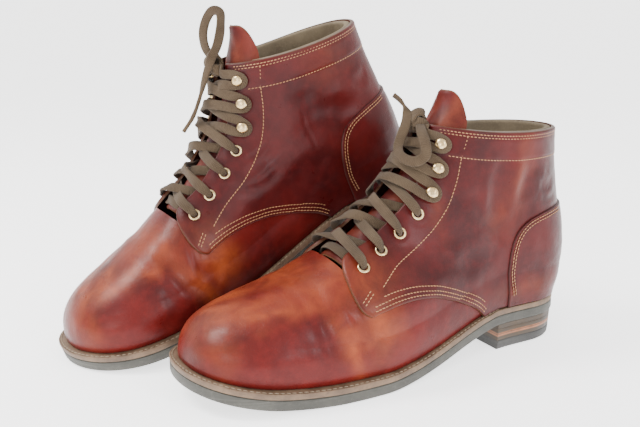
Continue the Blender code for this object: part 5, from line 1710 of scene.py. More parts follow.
def build_stitching(boot, mat):
    paths = []
    Q = QUARTER[1] - 0.42
    front, top, seam = seam_line(1)
    for side in (1, -1):
        ys = np.linspace(front[-1][0] + 2.5, float(back_y(COLLAR_Z)) - 1.0, 60)
        band = lambda P: np.full(len(P), Q + 0.42)
        for off in (2.6, 4.6):
            paths.append(surface_line(np.stack([ys, collar_z(ys) - off], 1), side, lambda P: Q + 0.46, boot))
        ys2 = np.linspace(ys[0] + 1.0, ys[-1], 60)
        paths.append(surface_line(np.stack([ys2, collar_z(ys2) - 20.0], 1), side, Q + 0.42, boot))
        row = row_line(14.5, 3.0)
        row = polyline_smooth(row[:, 0], row[:, 1], 120, 10)
        paths.append(surface_line(row, side, lambda P: Q + 0.42 + 0.2 * smooth((P[:, 2] - 150) / 3.0), boot))
        for off, c0, c1 in ((2.3, 2.5, 4.0), (4.6, 3.0, 4.5), (7.6, 12.0, 9.0)):
            paths.append(surface_line(inset_line(seam, off, c0, c1), side, Q + 0.42, boot))
        # box of stitches at the tip
        for a, b in (((112.2, 60.5), (120.5, 66.8)), ((113.4, 58.9), (121.7, 65.2))):
            paths.append(surface_line([a, b], side, Q + 0.35, boot))
        fr = inset_line(front, -2.4, 3.0, 3.0)
        fr = fr[fr[:, 1] < 92]
        # heel cover
        cf = [(246.2, 39.5), (243.2, 56.0), (243.6, 70.0), (246.2, 82.0), (252.4, 91.6), (262.0, 97.7), (272.0, 100.6), (284.0, 102.5), (294.5, 103.8)]
        for off in (2.2, 4.4):
            ln = inset_line(cf, -off, 1.5, 1.0)
            ln = ln[ln[:, 0] < 293.0]
            paths.append(surface_line(ln, side, COVER[1] - 0.10, boot))
    V, F, A = stitch_mesh(paths, 2.6, 2.15, 0.36)
    return make_object(boot + '_stitching', boot, V, F, mat, (A, ('along', 'around')), weld=False, sharp=180)


def build_welt_stitching(boot, mat):
    loop, nrm = ring_profile(400, None)
    paths = []
    z1 = OUTSOLE_T + GAP + WELT_T
    for side in (1, -1):
        c = outline(side, lambda y: sole_margin(y) - 2.0, 300, None, 238.0)
        P = np.c_[c, sole_z(c[:, 1]) + z1 - 0.42]
        paths.append((P, np.tile([0, 0, 1.0], (len(P), 1))))
        # outsole stitch on the tread
        c = outline(side, lambda y: sole_margin(y) - 5.0, 300, None, 232.0)
        P = np.c_[c, sole_z(c[:, 1]) + 0.12]
        paths.append((P, np.tile([0, 0, -1.0], (len(P), 1))))
    V, F, A = stitch_mesh(paths, 3.9, 3.3, 0.5)
    return make_object(boot + '_welt_stitching', boot, V, F, mat, (A, ('along', 'around')), weld=False, sharp=180)


# ---------------------------------------------------------------- hardware
RING = [(2.25, 1.8), (2.62, 1.8), (2.62, 4.1), (4.15, 4.15), (4.36, 4.35), (4.38, 4.62), (4.15, 4.95), (3.7, 5.2), (3.2, 5.3), (2.72, 5.18), (2.38, 4.85), (2.27, 4.3)]
WASHER = [(0, 4.0), (3.5, 4.0), (3.75, 4.3), (3.6, 4.65), (3.0, 4.85), (0, 5.0)]


def build_eyelets(boot, mat):
    V, F = [], []
    n0 = 0
    for side in (1, -1):
        for (y, z) in EYELET_YZ:
            t, s = girth(y, z, side)
            P, n = over(t, s * side, 0.0)
            v, f = turned(RING, 32, P, n, (0, 0, 1))
            V.append(np.array(v))
            F += [tuple(i + n0 for i in q) for q in f]
            n0 += len(v)
    nodes = ['%s_eyelet_%s_%d' % (boot, w, k) for w in ('lateral', 'medial') for k in (1, 2, 3, 4)]
    return make_object(boot + '_eyelet_rings', boot, np.vstack(V), F, mat, replaces=nodes, sharp=60)


HOOK_PATH = np.array([(-0.4, 4.7), (-2.2, 5.1), (-3.3, 6.3), (-3.5, 7.9), (-2.7, 9.5), (-0.8, 10.5), (1.4, 10.75), (3.2, 10.2), (4.3, 9.3)])
HOOK_W = np.array([3.4, 3.7, 3.8, 4.2, 5.6, 7.0, 7.5, 6.6, 4.2])


def build_hooks(boot, mat):
    V, F = [], []
    n0 = 0
    nk, nw = 26, 12
    for side in (1, -1):
        for (y, z) in HOOK_YZ:
            t, s = girth(y, z, side)
            P, n = over(t, s * side, 0.0)
            P2, _n = over(t, (s + 2.0) * side, 0.0)
            a = P2 - P
            a -= n * (a @ n)
            a /= np.linalg.norm(a)
            b = np.cross(n, a)
            v, f = turned(WASHER, 28, P, n, (0, 0, 1))
            V.append(np.array(v))
            F += [tuple(i + n0 for i in q) for q in f]
            n0 += len(v)
            path = polyline_smooth(HOOK_PATH[:, 0], HOOK_PATH[:, 1], nk, 1)
            dd = np.linspace(0, 1, nk)
            wd = np.interp(dd, np.linspace(0, 1, len(HOOK_W)), HOOK_W)
            wd = wd * np.sqrt(np.clip(1 - np.clip((dd - 0.9) / 0.1, 0, 1) ** 2 * 0.75, 0, 1))
            tg = np.gradient(path, axis=0)
            tg /= np.linalg.norm(tg, axis=1, keepdims=True)
            up = np.stack([-tg[:, 1], tg[:, 0]], 1)
            ring = []
            for k in range(nk):
                row = []
                for part, sign in ((0, 1), (1, -1)):
                    for j in range(nw):
                        u = -1 + 2 * j / (nw - 1)
                        u = u if part == 0 else -u
                        dome = 0.26 * wd[k] * (1 - math.sqrt(max(0, 1 - (0.8 * u) ** 2))) * (0.3 + 0.7 * smooth((dd[k] - 0.25) / 0.3))
                        th = 0.42 * math.sqrt(max(0.02, 1 - abs(u) ** 5))
                        q = path[k] + up[k] * (sign * th - dome)
                        row.append(P + a * q[0] + n * q[1] + b * (u * wd[k] / 2))
                ring.append(row)
            ring = np.array(ring)
            m = ring.shape[1]
            V.append(ring.reshape(-1, 3))
            ids = n0 + np.arange(nk * m).reshape(nk, m)
            F += [tuple(x) for x in np.stack([ids[:-1], ids[1:], np.roll(ids[1:], -1, 1), np.roll(ids[:-1], -1, 1)], -1).reshape(-1, 4)]
            F.append(tuple(ids[0]))
            F.append(tuple(ids[-1][::-1]))
            n0 += nk * m
    nodes = ['%s_hook_%s_%d' % (boot, w, k) for w in ('lateral', 'medial') for k in (1, 2, 3)]
    return make_object(boot + '_speed_hooks', boot, np.vstack(V), F, mat, replaces=nodes, sharp=60)


# ---------------------------------------------------------------- laces
SECTION = np.array([(1.0, 0.0), (0.955, 0.62), (0.74, 0.92), (0.0, 1.0), (-0.74, 0.92), (-0.955, 0.62),
                    (-1.0, 0.0), (-0.955, -0.62), (-0.74, -0.92), (0.0, -1.0), (0.74, -0.92), (0.955, -0.62)])


def resample(points, normals_, step):
    Q = np.hstack([np.array(points), np.array(normals_) * 6.0])
    out, _d = smooth_path([q for q in Q], lambda: None)
    d = np.r_[0, np.cumsum(np.linalg.norm(np.diff(out[:, :3], axis=0), axis=1))]
    n = max(3, int(round(d[-1] / step)))
    u = np.linspace(0, d[-1], n + 1)
    R = np.stack([np.interp(u, d, out[:, k]) for k in range(6)], 1)
    P, N = R[:, :3], R[:, 3:]
    return P, N / np.linalg.norm(N, axis=1, keepdims=True), u


def ribbon(P, N, width, thick, twist=None, start=None, taper=(0, 0)):
    """flat woven band along P, its face towards N where it can be; width and thick per point"""
    n = len(P)
    T = np.gradient(P, axis=0)
    T /= np.linalg.norm(T, axis=1, keepdims=True)
    W = np.zeros_like(P)
    w = np.cross(T[0], N[0]) if start is None else np.array(start, float)
    for i in range(n):
        w = w - T[i] * (w @ T[i])
        w /= np.linalg.norm(w) + 1e-9
        want = np.cross(T[i], N[i])
        k = np.linalg.norm(want)
        if k > 1e-3:
            want = want / k
            if want @ w < 0:
                want = -want
            g = min(1.0, k * k) * 0.22
            w = w * (1 - g) + want * g
            w /= np.linalg.norm(w)
        W[i] = w
    U = np.cross(W, T)
    if twist is not None:
        c, s = np.cos(twist)[:, None], np.sin(twist)[:, None]
        W, U = W * c + U * s, U * c - W * s
    width = np.broadcast_to(width, n)
    thick = np.broadcast_to(thick, n)
    ring = P[:, None] + W[:, None] * SECTION[None, :, :1] * (width / 2)[:, None, None] + U[:, None] * SECTION[None, :, 1:] * (thick / 2)[:, None, None]
    m = len(SECTION)
    V = ring.reshape(-1, 3)
    ids = np.arange(n * m).reshape(n, m)
    F = [tuple(x) for x in np.stack([ids[:-1], ids[1:], np.roll(ids[1:], -1, 1), np.roll(ids[:-1], -1, 1)], -1).reshape(-1, 4)]
    F.append(tuple(ids[0]))
    F.append(tuple(ids[-1][::-1]))
    d = np.r_[0, np.cumsum(np.linalg.norm(np.diff(P, axis=0), axis=1))]
    A = np.stack([np.repeat(d, m), np.tile(SECTION[:, 0], n)], 1)
    return V, F, A


def build_lace(boot, mat):
    route = lace_route(1)
    pts, nrm = [], []
    for (t, s, h) in route:
        P, n = over(t, s, h)
        pts.append(P)
        nrm.append(n)
    P, N, u = resample(pts, nrm, 0.9)
    # narrower and thicker where it goes through an eyelet
    w = np.full(len(P), 7.3)
    th = np.full(len(P), 1.75)
    for side in (1, -1):
        for k, (y, z) in enumerate(EYELET_YZ + HOOK_YZ):
            t, s = girth(y, z, side)
            c, n = over(t, s * side, 4.0 if k < 4 else 7.4)
            r = np.linalg.norm(P - c, axis=1)
            if k < 4:
                g = np.exp(-(r / 4.2) ** 2)
                w = w * (1 - g) + 3.5 * g
                th = th * (1 - g) + 2.6 * g
            else:
                g = np.exp(-(r / 5.2) ** 2)
                w = w * (1 - g) + 5.0 * g
                th = th * (1 - g) + 2.2 * g
    seed = 2 if boot == 'left' else 9
    tw = 0.42 * wob(P, 34, seed)
    off = 0.6 * wob(P, 28, seed + 1)
    P2 = P + N * (off * 0.5)[:, None]
    V, F, A = ribbon(P2, N, w, th, tw)
    return make_object(boot + '_lace_woven', boot, V, F, mat, (A, ('along', 'across')), replaces=(boot + '_lace',), weld=False, sharp=180)


def build_knot(boot, mat):
    P0, n = over(KNOT_T, 0.0, KNOT_H)
    a = np.array([1.0, 0, 0])
    b = np.cross(n, a)
    b /= np.linalg.norm(b)
    V, F, A = [], [], []
    c = 0

    def loop(ra, rb, ax1, ax2, ax3, width, tilt, thick=1.7, centre=(0, 0, 0), turns=1.0, phase=0.0):
        nonlocal c
        k = 44
        q = np.linspace(phase, phase + 2 * math.pi * turns, k)
        e1, e2, e3 = ax1, ax2, ax3
        pts = P0 + e1 * centre[0] + e2 * centre[1] + e3 * centre[2] + (e1[None] * np.cos(q)[:, None] * ra + e2[None] * np.sin(q)[:, None] * rb) + e3[None] * (tilt * np.sin(q + 0.7))[:, None]
        nn = e1[None] * np.cos(q)[:, None] / ra + e2[None] * np.sin(q)[:, None] / rb
        nn /= np.linalg.norm(nn, axis=1, keepdims=True)
        v, f, at_ = ribbon(pts, nn, width * (1 + 0.08 * np.sin(3 * q)), thick, 0.15 * np.sin(2 * q))
        V.append(v)
        F.extend([tuple(i + c for i in x) for x in f])
        A.append(at_)
        c += len(v)
    # the wrap that holds the crossing, the two passes under it, and the inner turn
    loop(5.4, 6.4, n, b, a, 8.0, 1.3, 2.2)
    loop(4.8, 9.0, n, a, b, 7.4, 2.1, 2.1, centre=(-0.3, 0, -2.0))
    loop(4.3, 8.2, n, (a * 0.75 + b * 0.66), (b * 0.75 - a * 0.66), 7.2, 1.6, 2.1, centre=(0.5, 0, 1.8))
    return make_object(boot + '_knot_woven', boot, np.vstack(V), F, mat, (np.vstack(A), ('along', 'across')), replaces=(boot + '_lace_knot',), weld=False, sharp=180)


LACE_W = 7.2


def build_bow(boot, mat):
    right = boot == 'right'
    pts = bow_points(right)
    # face of the band: outwards at first, turning through the loop
    if right:
        face = [np.array([-0.55, -0.9, 0.25])] * 4 + [np.array([-0.75, -0.3, 0.6])] + [np.array([-0.85, 0.35, 0.35])] * 3 \
            + [np.array([-0.8, -0.6, 0.3])] * 2 + [np.array([0.3, -1.0, 0.4])] * (len(pts) - 10)
    else:
        face = []
        for k, p in enumerate(pts):
            face.append(np.array([0.8, -0.5, 0.35]) if k < 10 else np.array([0.1, 0.75, 0.65]))
    face = [f / np.linalg.norm(f) for f in face]
    P, N, u = resample(pts, face, 1.1)
    k = u / u[-1]
    if right:
        w = np.interp(k, [0, 0.06, 0.5, 0.60, 0.68, 0.97, 1.0], [6.2, LACE_W, LACE_W, 6.6, 5.0, 4.4, 4.0])
        th = np.interp(k, [0, 0.55, 0.68, 1.0], [1.9, 1.9, 2.6, 2.8])
    else:
        w = np.interp(k, [0, 0.05, 0.8, 0.9, 1.0], [6.4, LACE_W, LACE_W, 5.4, 4.6])
        th = np.interp(k, [0, 0.8, 0.92, 1.0], [2.0, 2.0, 2.3, 2.5])
    V, F, A = ribbon(P, N, w, th, 0.22 * wob(P, 24, 4))
    ob = make_object(boot + '_bow_woven', boot, V, F, mat, (A, ('along', 'across')), replaces=(boot + '_lace_bow',), weld=False, sharp=180)
    return ob


# ---------------------------------------------------------------- materials
class Nodes:
    """short notation for node trees"""

    def __init__(self, name):
        self.m = bpy.data.materials.new(name)
        self.m.use_nodes = True
        self.t = self.m.node_tree
        self.b = self.t.nodes['Principled BSDF']
        self.co = self.t.nodes.new('ShaderNodeTexCoord').outputs['Object']

    def link(self, a, b):
        self.t.links.new(a, b)

    def map(self, scale, co=None):
        n = self.t.nodes.new('ShaderNodeMapping')
        self.link(co or self.co, n.inputs['Vector'])
        n.inputs['Scale'].default_value = scale if isinstance(scale, tuple) else (scale,) * 3
        return n.outputs['Vector']

    def noise(self, scale, detail=3, rough=0.55, co=None, dist=0.0):
        n = self.t.nodes.new('ShaderNodeTexNoise')
        n.inputs['Scale'].default_value = scale
        n.inputs['Detail'].default_value = detail
        n.inputs['Roughness'].default_value = rough
        n.inputs['Distortion'].default_value = dist
        self.link(co or self.co, n.inputs['Vector'])
        return n.outputs['Fac']

    def cells(self, scale, feature='F1', co=None, rnd=1.0):
        n = self.t.nodes.new('ShaderNodeTexVoronoi')
        n.feature = feature
        n.inputs['Scale'].default_value = scale
        n.inputs['Randomness'].default_value = rnd
        self.link(co or self.co, n.inputs['Vector'])
        return n.outputs['Distance']

    def attr(self, name):
        n = self.t.nodes.new('ShaderNodeAttribute')
        n.attribute_name = name
        return n.outputs['Fac']

    def math(self, op, a, b=0.0, c=None, clamp=False):
        n = self.t.nodes.new('ShaderNodeMath')
        n.operation = op
        n.use_clamp = clamp
        for i, v in enumerate((a, b, c)):
            if v is None:
                continue
            if isinstance(v, (int, float)):
                n.inputs[i].default_value = v
            else:
                self.link(v, n.inputs[i])
        return n.outputs[0]

    def ramp(self, fac, stops):
        n = self.t.nodes.new('ShaderNodeValToRGB')
        self.link(fac, n.inputs['Fac'])
        el = n.color_ramp.elements
        while len(el) < len(stops):
            el.new(0.5)
        for e, (p, c) in zip(el, stops):
            e.position = p
            e.color = (c, c, c, 1) if isinstance(c, (int, float)) else (*c, 1)
        return n.outputs['Color']

    def range(self, v, a, b, c=0.0, d=1.0):
        n = self.t.nodes.new('ShaderNodeMapRange')
        self.link(v, n.inputs['Value'])
        for k, x in zip(('From Min', 'From Max', 'To Min', 'To Max'), (a, b, c, d)):
            n.inputs[k].default_value = x
        return n.outputs['Result']

    def mix(self, fac, a, b, kind='MIX'):
        n = self.t.nodes.new('ShaderNodeMix')
        n.data_type = 'RGBA'
        n.blend_type = kind
        n.clamp_factor = True
        if isinstance(fac, (int, float)):
            n.inputs['Factor'].default_value = fac
        else:
            self.link(fac, n.inputs['Factor'])
        for sock, v in (('A', a), ('B', b)):
            s = [i for i in n.inputs if i.name == sock and i.type == 'RGBA'][0]
            if isinstance(v, tuple):
                s.default_value = (*v, 1)
            else:
                self.link(v, s)
        return [o for o in n.outputs if o.type == 'RGBA'][0]

    def bump(self, parts):
        """parts: (height, distance in metres, strength)"""
        last = None
        for h, dist, strength in parts:
            n = self.t.nodes.new('ShaderNodeBump')
            n.inputs['Distance'].default_value = dist
            n.inputs['Strength'].default_value = strength
            self.link(h, n.inputs['Height'])
            if last is not None:
                self.link(last, n.inputs['Normal'])
            last = n.outputs['Normal']
        self.link(last, self.b.inputs['Normal'])

    def color(self, c):
        if isinstance(c, tuple):
            self.b.inputs['Base Color'].default_value = (*c, 1)
        else:
            self.link(c, self.b.inputs['Base Color'])

    def rough(self, r):
        if isinstance(r, (int, float)):
            self.b.inputs['Roughness'].default_value = r
        else:
            self.link(r, self.b.inputs['Roughness'])


def leather(name, deep, mid, tan, worn_amount=1.0, rough=(0.30, 0.46), coat=0.18, grain=1.0, cut=(0.030, 0.012, 0.010)):
    n = Nodes(name)
    big = n.noise(22, 3, 0.5, dist=0.4)
    small = n.noise(150, 4, 0.6)
    pull = n.attr('pull')
    rim = n.attr('rim')
    c = n.mix(n.range(big, 0.36, 0.66), deep, mid)
    c = n.mix(n.range(small, 0.45, 0.75, 0.0, 0.30), c, tuple(min(1, x * 1.7) for x in mid))
    streak = n.noise(60, 5, 0.62, dist=1.1)
    pf = n.math('MULTIPLY', pull, n.range(streak, 0.25, 0.62, 0.35, 1.1), clamp=True)
    c = n.mix(n.math('MULTIPLY', pf, 0.92 * worn_amount, clamp=True), c, tan)
    # the inked cut edge has its own colour, fading out over the first 0.9 mm inside it
    c = n.mix(n.range(rim, 0.0, 0.9, 0.85, 0.0), c, cut)
    # small scuffs
    scuff = n.noise(330, 6, 0.72, dist=2.0)
    where = n.range(n.noise(34, 2, 0.5), 0.60, 0.72, 0.0, 1.0)
    sf = n.math('MULTIPLY', n.range(scuff, 0.62, 0.74, 0.0, 0.45), where, clamp=True)
    c = n.mix(sf, c, (0.26, 0.075, 0.040))
    n.color(c)
    r = n.range(n.noise(70, 4, 0.6), 0.3, 0.7, rough[0], rough[1])
    r = n.math('ADD', r, n.math('MULTIPLY', sf, 0.25), clamp=True)
    n.rough(r)
    pores = n.cells(1250 / grain, 'F1')
    lines = n.cells(620 / grain, 'DISTANCE_TO_EDGE')
    fine = n.noise(2600, 2, 0.5)
    n.bump([(n.noise(46, 4, 0.55, dist=0.5), 0.0022, 0.20), (n.noise(120, 5, 0.62, dist=0.7), 0.0010, 0.20), (n.range(lines, 0.0, 0.09), 0.00012, 0.30), (pores, 0.00012, 0.22), (fine, 0.00006, 0.25), (scuff, 0.0003, 0.05)])
    n.b.inputs['Specular IOR Level'].default_value = 0.16
    n.b.inputs['Coat Weight'].default_value = coat
    n.b.inputs['Coat Roughness'].default_value = 0.26
    return n.m


def thread_mat(name, a, b):
    n = Nodes(name)
    ply = n.math('SINE', n.math('ADD', n.math('MULTIPLY', n.attr('along'), 9.0), n.math('MULTIPLY', n.attr('around'), 1.0)))
    # the colour follows the twist's relief: painted shade in the grooves between the plies, lighter on their crests
    c = n.mix(n.range(ply, -1, 1, 0.0, 1.0), a, b)
    c = n.mix(n.range(n.noise(90, 3), 0.5, 0.75, 0.0, 0.45), c, tuple(x * 0.45 for x in a))
    n.color(c)
    n.rough(0.62)
    n.bump([(ply, 0.00012, 0.7)])
    return n.m


def lace_mat():
    n = Nodes('woven_lace')
    al, ac = n.attr('along'), n.attr('across')
    # lengthwise ribs with the slant of a braid
    v = n.math('ABSOLUTE', ac)
    slant = n.math('SINE', n.math('ADD', n.math('MULTIPLY', al, 5.2), n.math('MULTIPLY', v, 7.5)))
    ribs = n.math('SINE', n.math('MULTIPLY', ac, 26.0))
    w = n.math('ADD', n.math('MULTIPLY', slant, 0.5), n.math('MULTIPLY', ribs, 0.5))
    # the colour follows the rib height: painted shade in the hollows of the braid, lighter on its crests
    c = n.mix(n.range(w, -1, 1), (0.022, 0.0135, 0.0076), (0.088, 0.058, 0.034))
    c = n.mix(n.range(n.noise(55, 4, 0.6), 0.35, 0.7), c, n.mix(0.5, c, (0.112, 0.078, 0.047)))
    c = n.mix(n.range(n.noise(1500, 2), 0.55, 0.8, 0.0, 0.30), c, (0.17, 0.128, 0.086))
    n.color(c)
    n.rough(0.86)
    n.bump([(w, 0.00028, 0.65), (n.noise(2200, 3), 0.00015, 0.4)])
    n.b.inputs['Sheen Weight'].default_value = 0.08
    n.b.inputs['Sheen Roughness'].default_value = 0.5
    n.b.inputs['Specular IOR Level'].default_value = 0.15
    return n.m


def brass_mat():
    n = Nodes('antique_brass_worn')
    f = n.noise(420, 5, 0.65)
    c = n.mix(n.range(f, 0.35, 0.7), (0.50, 0.33, 0.14), (0.80, 0.64, 0.38))
    c = n.mix(n.range(n.noise(900, 4), 0.58, 0.75, 0, 0.55), c, (0.16, 0.09, 0.04))
    n.color(c)
    n.rough(n.range(n.noise(700, 4), 0.3, 0.75, 0.20, 0.42))
    n.b.inputs['Metallic'].default_value = 1.0
    n.bump([(n.noise(1300, 4), 0.00008, 0.4)])
    return n.m


def welt_mat():
    n = Nodes('welt_leather_tan')
    f = n.noise(75, 5, 0.62)
    c = n.mix(n.range(f, 0.3, 0.72), (0.080, 0.046, 0.026), (0.205, 0.130, 0.078))
    c = n.mix(n.range(n.noise(420, 5, 0.7), 0.55, 0.75, 0, 0.7), c, (0.055, 0.032, 0.020))
    n.color(c)
    n.rough(n.range(f, 0.3, 0.7, 0.5, 0.72))
    n.bump([(n.noise(500, 5, 0.7), 0.0004, 0.4), (n.cells(1500, 'DISTANCE_TO_EDGE'), 0.0001, 0.4)])
    return n.m


def rubber_mat(name, a, b, pale, streaks=True):
    n = Nodes(name)
    f = n.noise(38, 5, 0.65)
    c = n.mix(n.range(f, 0.32, 0.7), a, b)
    dust = n.noise(260, 6, 0.75, dist=1.2)
    c = n.mix(n.range(dust, 0.54, 0.74, 0, 0.55), c, pale)
    lines = n.noise(1.0, 3, 0.6, co=n.map((14, 14, 900)))
    c = n.mix(n.range(lines, 0.52, 0.72, 0.0, 0.28 if streaks else 0.0), c, pale)
    n.color(c)
    n.rough(n.range(dust, 0.3, 0.7, 0.46, 0.72))
    n.bump([(dust, 0.0004, 0.30), (lines, 0.0003, 0.30), (n.noise(1700, 3), 0.0001, 0.35)])
    return n.m


def stack_mat():
    """leather lifts: thin layers with darker glue lines, one orange-tan lift at the bottom"""
    n = Nodes('heel_lifts')
    sep = n.t.nodes.new('ShaderNodeSeparateXYZ')
    n.link(n.attr_vec('local'), sep.inputs[0])
    z = n.math('MULTIPLY', sep.outputs['Z'], 1.0)
    layer = n.math('FRACT', n.math('DIVIDE', n.math('SUBTRACT', z, 7.2), 4.75))
    glue = n.math('ADD', n.range(layer, 0.0, 0.10, 1.0, 0.0), n.range(layer, 0.92, 1.0, 0.0, 1.0), clamp=True)
    f = n.noise(60, 5, 0.65)
    c = n.mix(n.range(f, 0.3, 0.7), (0.026, 0.016, 0.0085), (0.056, 0.035, 0.018))
    grain = n.noise(1.0, 4, 0.6, co=n.map((60, 60, 1600)))
    c = n.mix(n.range(grain, 0.5, 0.75, 0, 0.5), c, (0.112, 0.077, 0.049))
    tan = n.math('MULTIPLY', n.range(z, 10.2, 10.7, 0, 1), n.range(z, 12.9, 13.4, 1, 0), clamp=True)
    c = n.mix(n.math('MULTIPLY', tan, n.range(n.noise(130, 4), 0.25, 0.6, 0.45, 1.0), clamp=True), c, (0.300, 0.115, 0.050))
    c = n.mix(n.math('MULTIPLY', glue, 0.7), c, (0.022, 0.017, 0.013))
    n.color(c)
    n.rough(n.range(f, 0.3, 0.7, 0.42, 0.66))
    n.bump([(glue, 0.0004, -0.8), (grain, 0.0003, 0.35), (n.noise(900, 4), 0.0001, 0.4)])
    return n.m


def attr_vec(self, name):
    a = self.t.nodes.new('ShaderNodeAttribute')
    a.attribute_name = name
    return a.outputs['Vector']


Nodes.attr_vec = attr_vec


def lining_mat():
    n = Nodes('lining_soft')
    f = n.noise(45, 4, 0.6)
    c = n.mix(n.range(f, 0.3, 0.7), (0.085, 0.062, 0.036), (0.165, 0.125, 0.075))
    c = n.mix(n.range(n.noise(700, 4), 0.5, 0.75, 0, 0.4), c, (0.22, 0.17, 0.10))
    n.color(c)
    n.rough(0.8)
    n.bump([(n.noise(160, 4), 0.0008, 0.2), (n.cells(1400), 0.0001, 0.5)])
    return n.m


def insole_mat():
    n = Nodes('insole_leather')
    f = n.noise(30, 5, 0.6)
    c = n.mix(n.range(f, 0.3, 0.7), (0.20, 0.115, 0.060), (0.36, 0.235, 0.135))
    n.color(n.mix(n.range(n.noise(260, 5), 0.5, 0.75, 0, 0.5), c, (0.12, 0.065, 0.035)))
    n.rough(0.7)
    n.bump([(n.noise(500, 4), 0.0003, 0.4)])
    return n.m


def cork_mat():
    n = Nodes('cork_granules')
    v = n.cells(420, 'F1')
    c = n.ramp(v, [(0.0, (0.30, 0.17, 0.08)), (0.5, (0.42, 0.27, 0.15)), (1.0, (0.10, 0.05, 0.025))])
    n.color(n.mix(n.range(n.noise(200, 4), 0.4, 0.7), c, (0.50, 0.34, 0.20)))
    n.rough(0.9)
    n.bump([(v, 0.0005, 0.6)])
    return n.m


def steel_mat():
    n = Nodes('shank_steel')
    f = n.noise(1.0, 4, 0.6, co=n.map((1800, 40, 1800)))
    n.color(n.mix(n.range(f, 0.3, 0.7), (0.36, 0.36, 0.37), (0.58, 0.58, 0.59)))
    n.rough(n.range(f, 0.3, 0.7, 0.25, 0.42))
    n.b.inputs['Metallic'].default_value = 1.0
    n.bump([(f, 0.00005, 0.3)])
    return n.m


def floor_mat():
    n = Nodes('studio_floor')
    n.color(n.mix(n.range(n.noise(3, 3), 0.3, 0.7), (0.92, 0.92, 0.93), (0.95, 0.95, 0.96)))
    n.rough(0.7)
    n.b.inputs['Specular IOR Level'].default_value = 0.2
    n.b.inputs['Emission Color'].default_value = (1.0, 1.0, 1.0, 1)
    n.b.inputs['Emission Strength'].default_value = 1.8
    n.bump([(n.noise(300, 3), 0.0002, 0.05)])
    return n.m


# ---------------------------------------------------------------- camera, floor, light
AZ, EL, ROLL, DIST = math.radians(61.71), math.radians(13.88), math.radians(-0.21), 0.7050
TARGET = Vector((-0.0583, 0.03513, 0.0816))
F_PX = 848.6


def make_camera():
    back = Vector((math.sin(AZ) * math.cos(EL), -math.cos(AZ) * math.cos(EL), math.sin(EL)))
    fwd = -back
    right = fwd.cross(Vector((0, 0, 1))).normalized()
    up = right.cross(fwd)
    r2 = right * math.cos(ROLL) + up * math.sin(ROLL)
    u2 = -right * math.sin(ROLL) + up * math.cos(ROLL)
    cam = bpy.data.cameras.new('camera')
    cam.sensor_width = 36.0
    cam.sensor_fit = 'HORIZONTAL'
    cam.lens = F_PX / 640 * 36.0
    cam.clip_start = 0.02
    cam.clip_end = 30
    ob = bpy.data.objects.new('camera', cam)
    m = Matrix((r2, u2, back)).transposed().to_4x4()
    m.translation = TARGET + back * DIST
    ob.matrix_world = m
    bpy.context.scene.collection.objects.link(ob)
    bpy.context.scene.camera = ob


def make_stage():
    me = bpy.data.meshes.new('floor')
    s = 60.0
    a, h = 4.0, 3.0
    # flat under the boots, rising very gently far away so no horizon shows
    me.from_pydata([(-a, -a, 0), (a, -a, 0), (a, a, 0), (-a, a, 0),
                    (-s, -s, h), (s, -s, h), (s, s, h), (-s, s, h)], [],
                   [(0, 1, 2, 3), (0, 4, 5, 1), (1, 5, 6, 2), (2, 6, 7, 3), (3, 7, 4, 0)])
    ob = bpy.data.objects.new('floor', me)
    me.materials.append(floor_mat())
    bpy.context.scene.collection.objects.link(ob)
    ob.location.z = -0.0002
    w = bpy.data.worlds.new('studio')
    bpy.context.scene.world = w
    w.use_nodes = True
    bg = w.node_tree.nodes['Background']
    bg.inputs['Color'].default_value = (1.0, 0.99, 0.975, 1)
    bg.inputs['Strength'].default_value = 1.7

    def area(name, loc, look, size, power, color=(1, 1, 1)):
        li = bpy.data.lights.new(name, 'AREA')
        li.shape = 'RECTANGLE'
        li.size, li.size_y = size
        li.energy = power
        li.color = color
        o = bpy.data.objects.new(name, li)
        o.location = loc
        o.rotation_mode = 'QUATERNION'
        o.rotation_quaternion = (Vector(look) - Vector(loc)).to_track_quat('-Z', 'Y')
        bpy.context.scene.collection.objects.link(o)
    area('top', (-0.35, -0.75, 1.10), (0, 0, 0.1), (0.36, 0.50), 17, (1.0, 0.98, 0.97))
    area('side', (1.20, 0.30, 0.62), (0, 0, 0.12), (0.22, 0.42), 5.5, (0.94, 0.95, 1.0))
    area('front', (0.75, -1.2, 0.6), (0, 0, 0.08), (0.4, 0.4), 5, (1.0, 0.98, 0.97))


# ---------------------------------------------------------------- build
make_camera()
make_stage()
UP = leather('oxblood_vamp', (0.048, 0.0034, 0.0036), (0.106, 0.0076, 0.0062), (0.300, 0.060, 0.017), 1.0, (0.27, 0.41), 0.07)
QU = leather('oxblood_quarter', (0.034, 0.0030, 0.0034), (0.070, 0.0056, 0.0052), (0.225, 0.042, 0.014), 0.8, (0.27, 0.41), 0.07, cut=(0.085, 0.042, 0.022))
CO = leather('oxblood_counter', (0.034, 0.0030, 0.0034), (0.070, 0.0056, 0.0052), (0.220, 0.042, 0.014), 0.8, (0.27, 0.41), 0.07)
TO = leather('oxblood_tongue', (0.042, 0.0040, 0.0036), (0.098, 0.0100, 0.0072), (0.230, 0.052, 0.020), 0.6, (0.40, 0.58), 0.04, 1.2, (0.165, 0.090, 0.045))
LI, IN, BR, LA, WE = lining_mat(), insole_mat(), brass_mat(), lace_mat(), welt_mat()
# thread colours: the first is the painted shade in the ply grooves, the second the lighter crests
TH_MAT = thread_mat('upper_thread', (0.30, 0.130, 0.050), (0.50, 0.265, 0.125))
WT_MAT = thread_mat('welt_thread', (0.20, 0.145, 0.092), (0.34, 0.262, 0.180))
SO = rubber_mat('sole_edge', (0.032, 0.031, 0.025), (0.070, 0.067, 0.055), (0.155, 0.150, 0.130))
TL = rubber_mat('top_lift_rubber', (0.020, 0.019, 0.018), (0.042, 0.041, 0.038), (0.115, 0.110, 0.102))
ST = stack_mat()
CK, SH = cork_mat(), steel_mat()


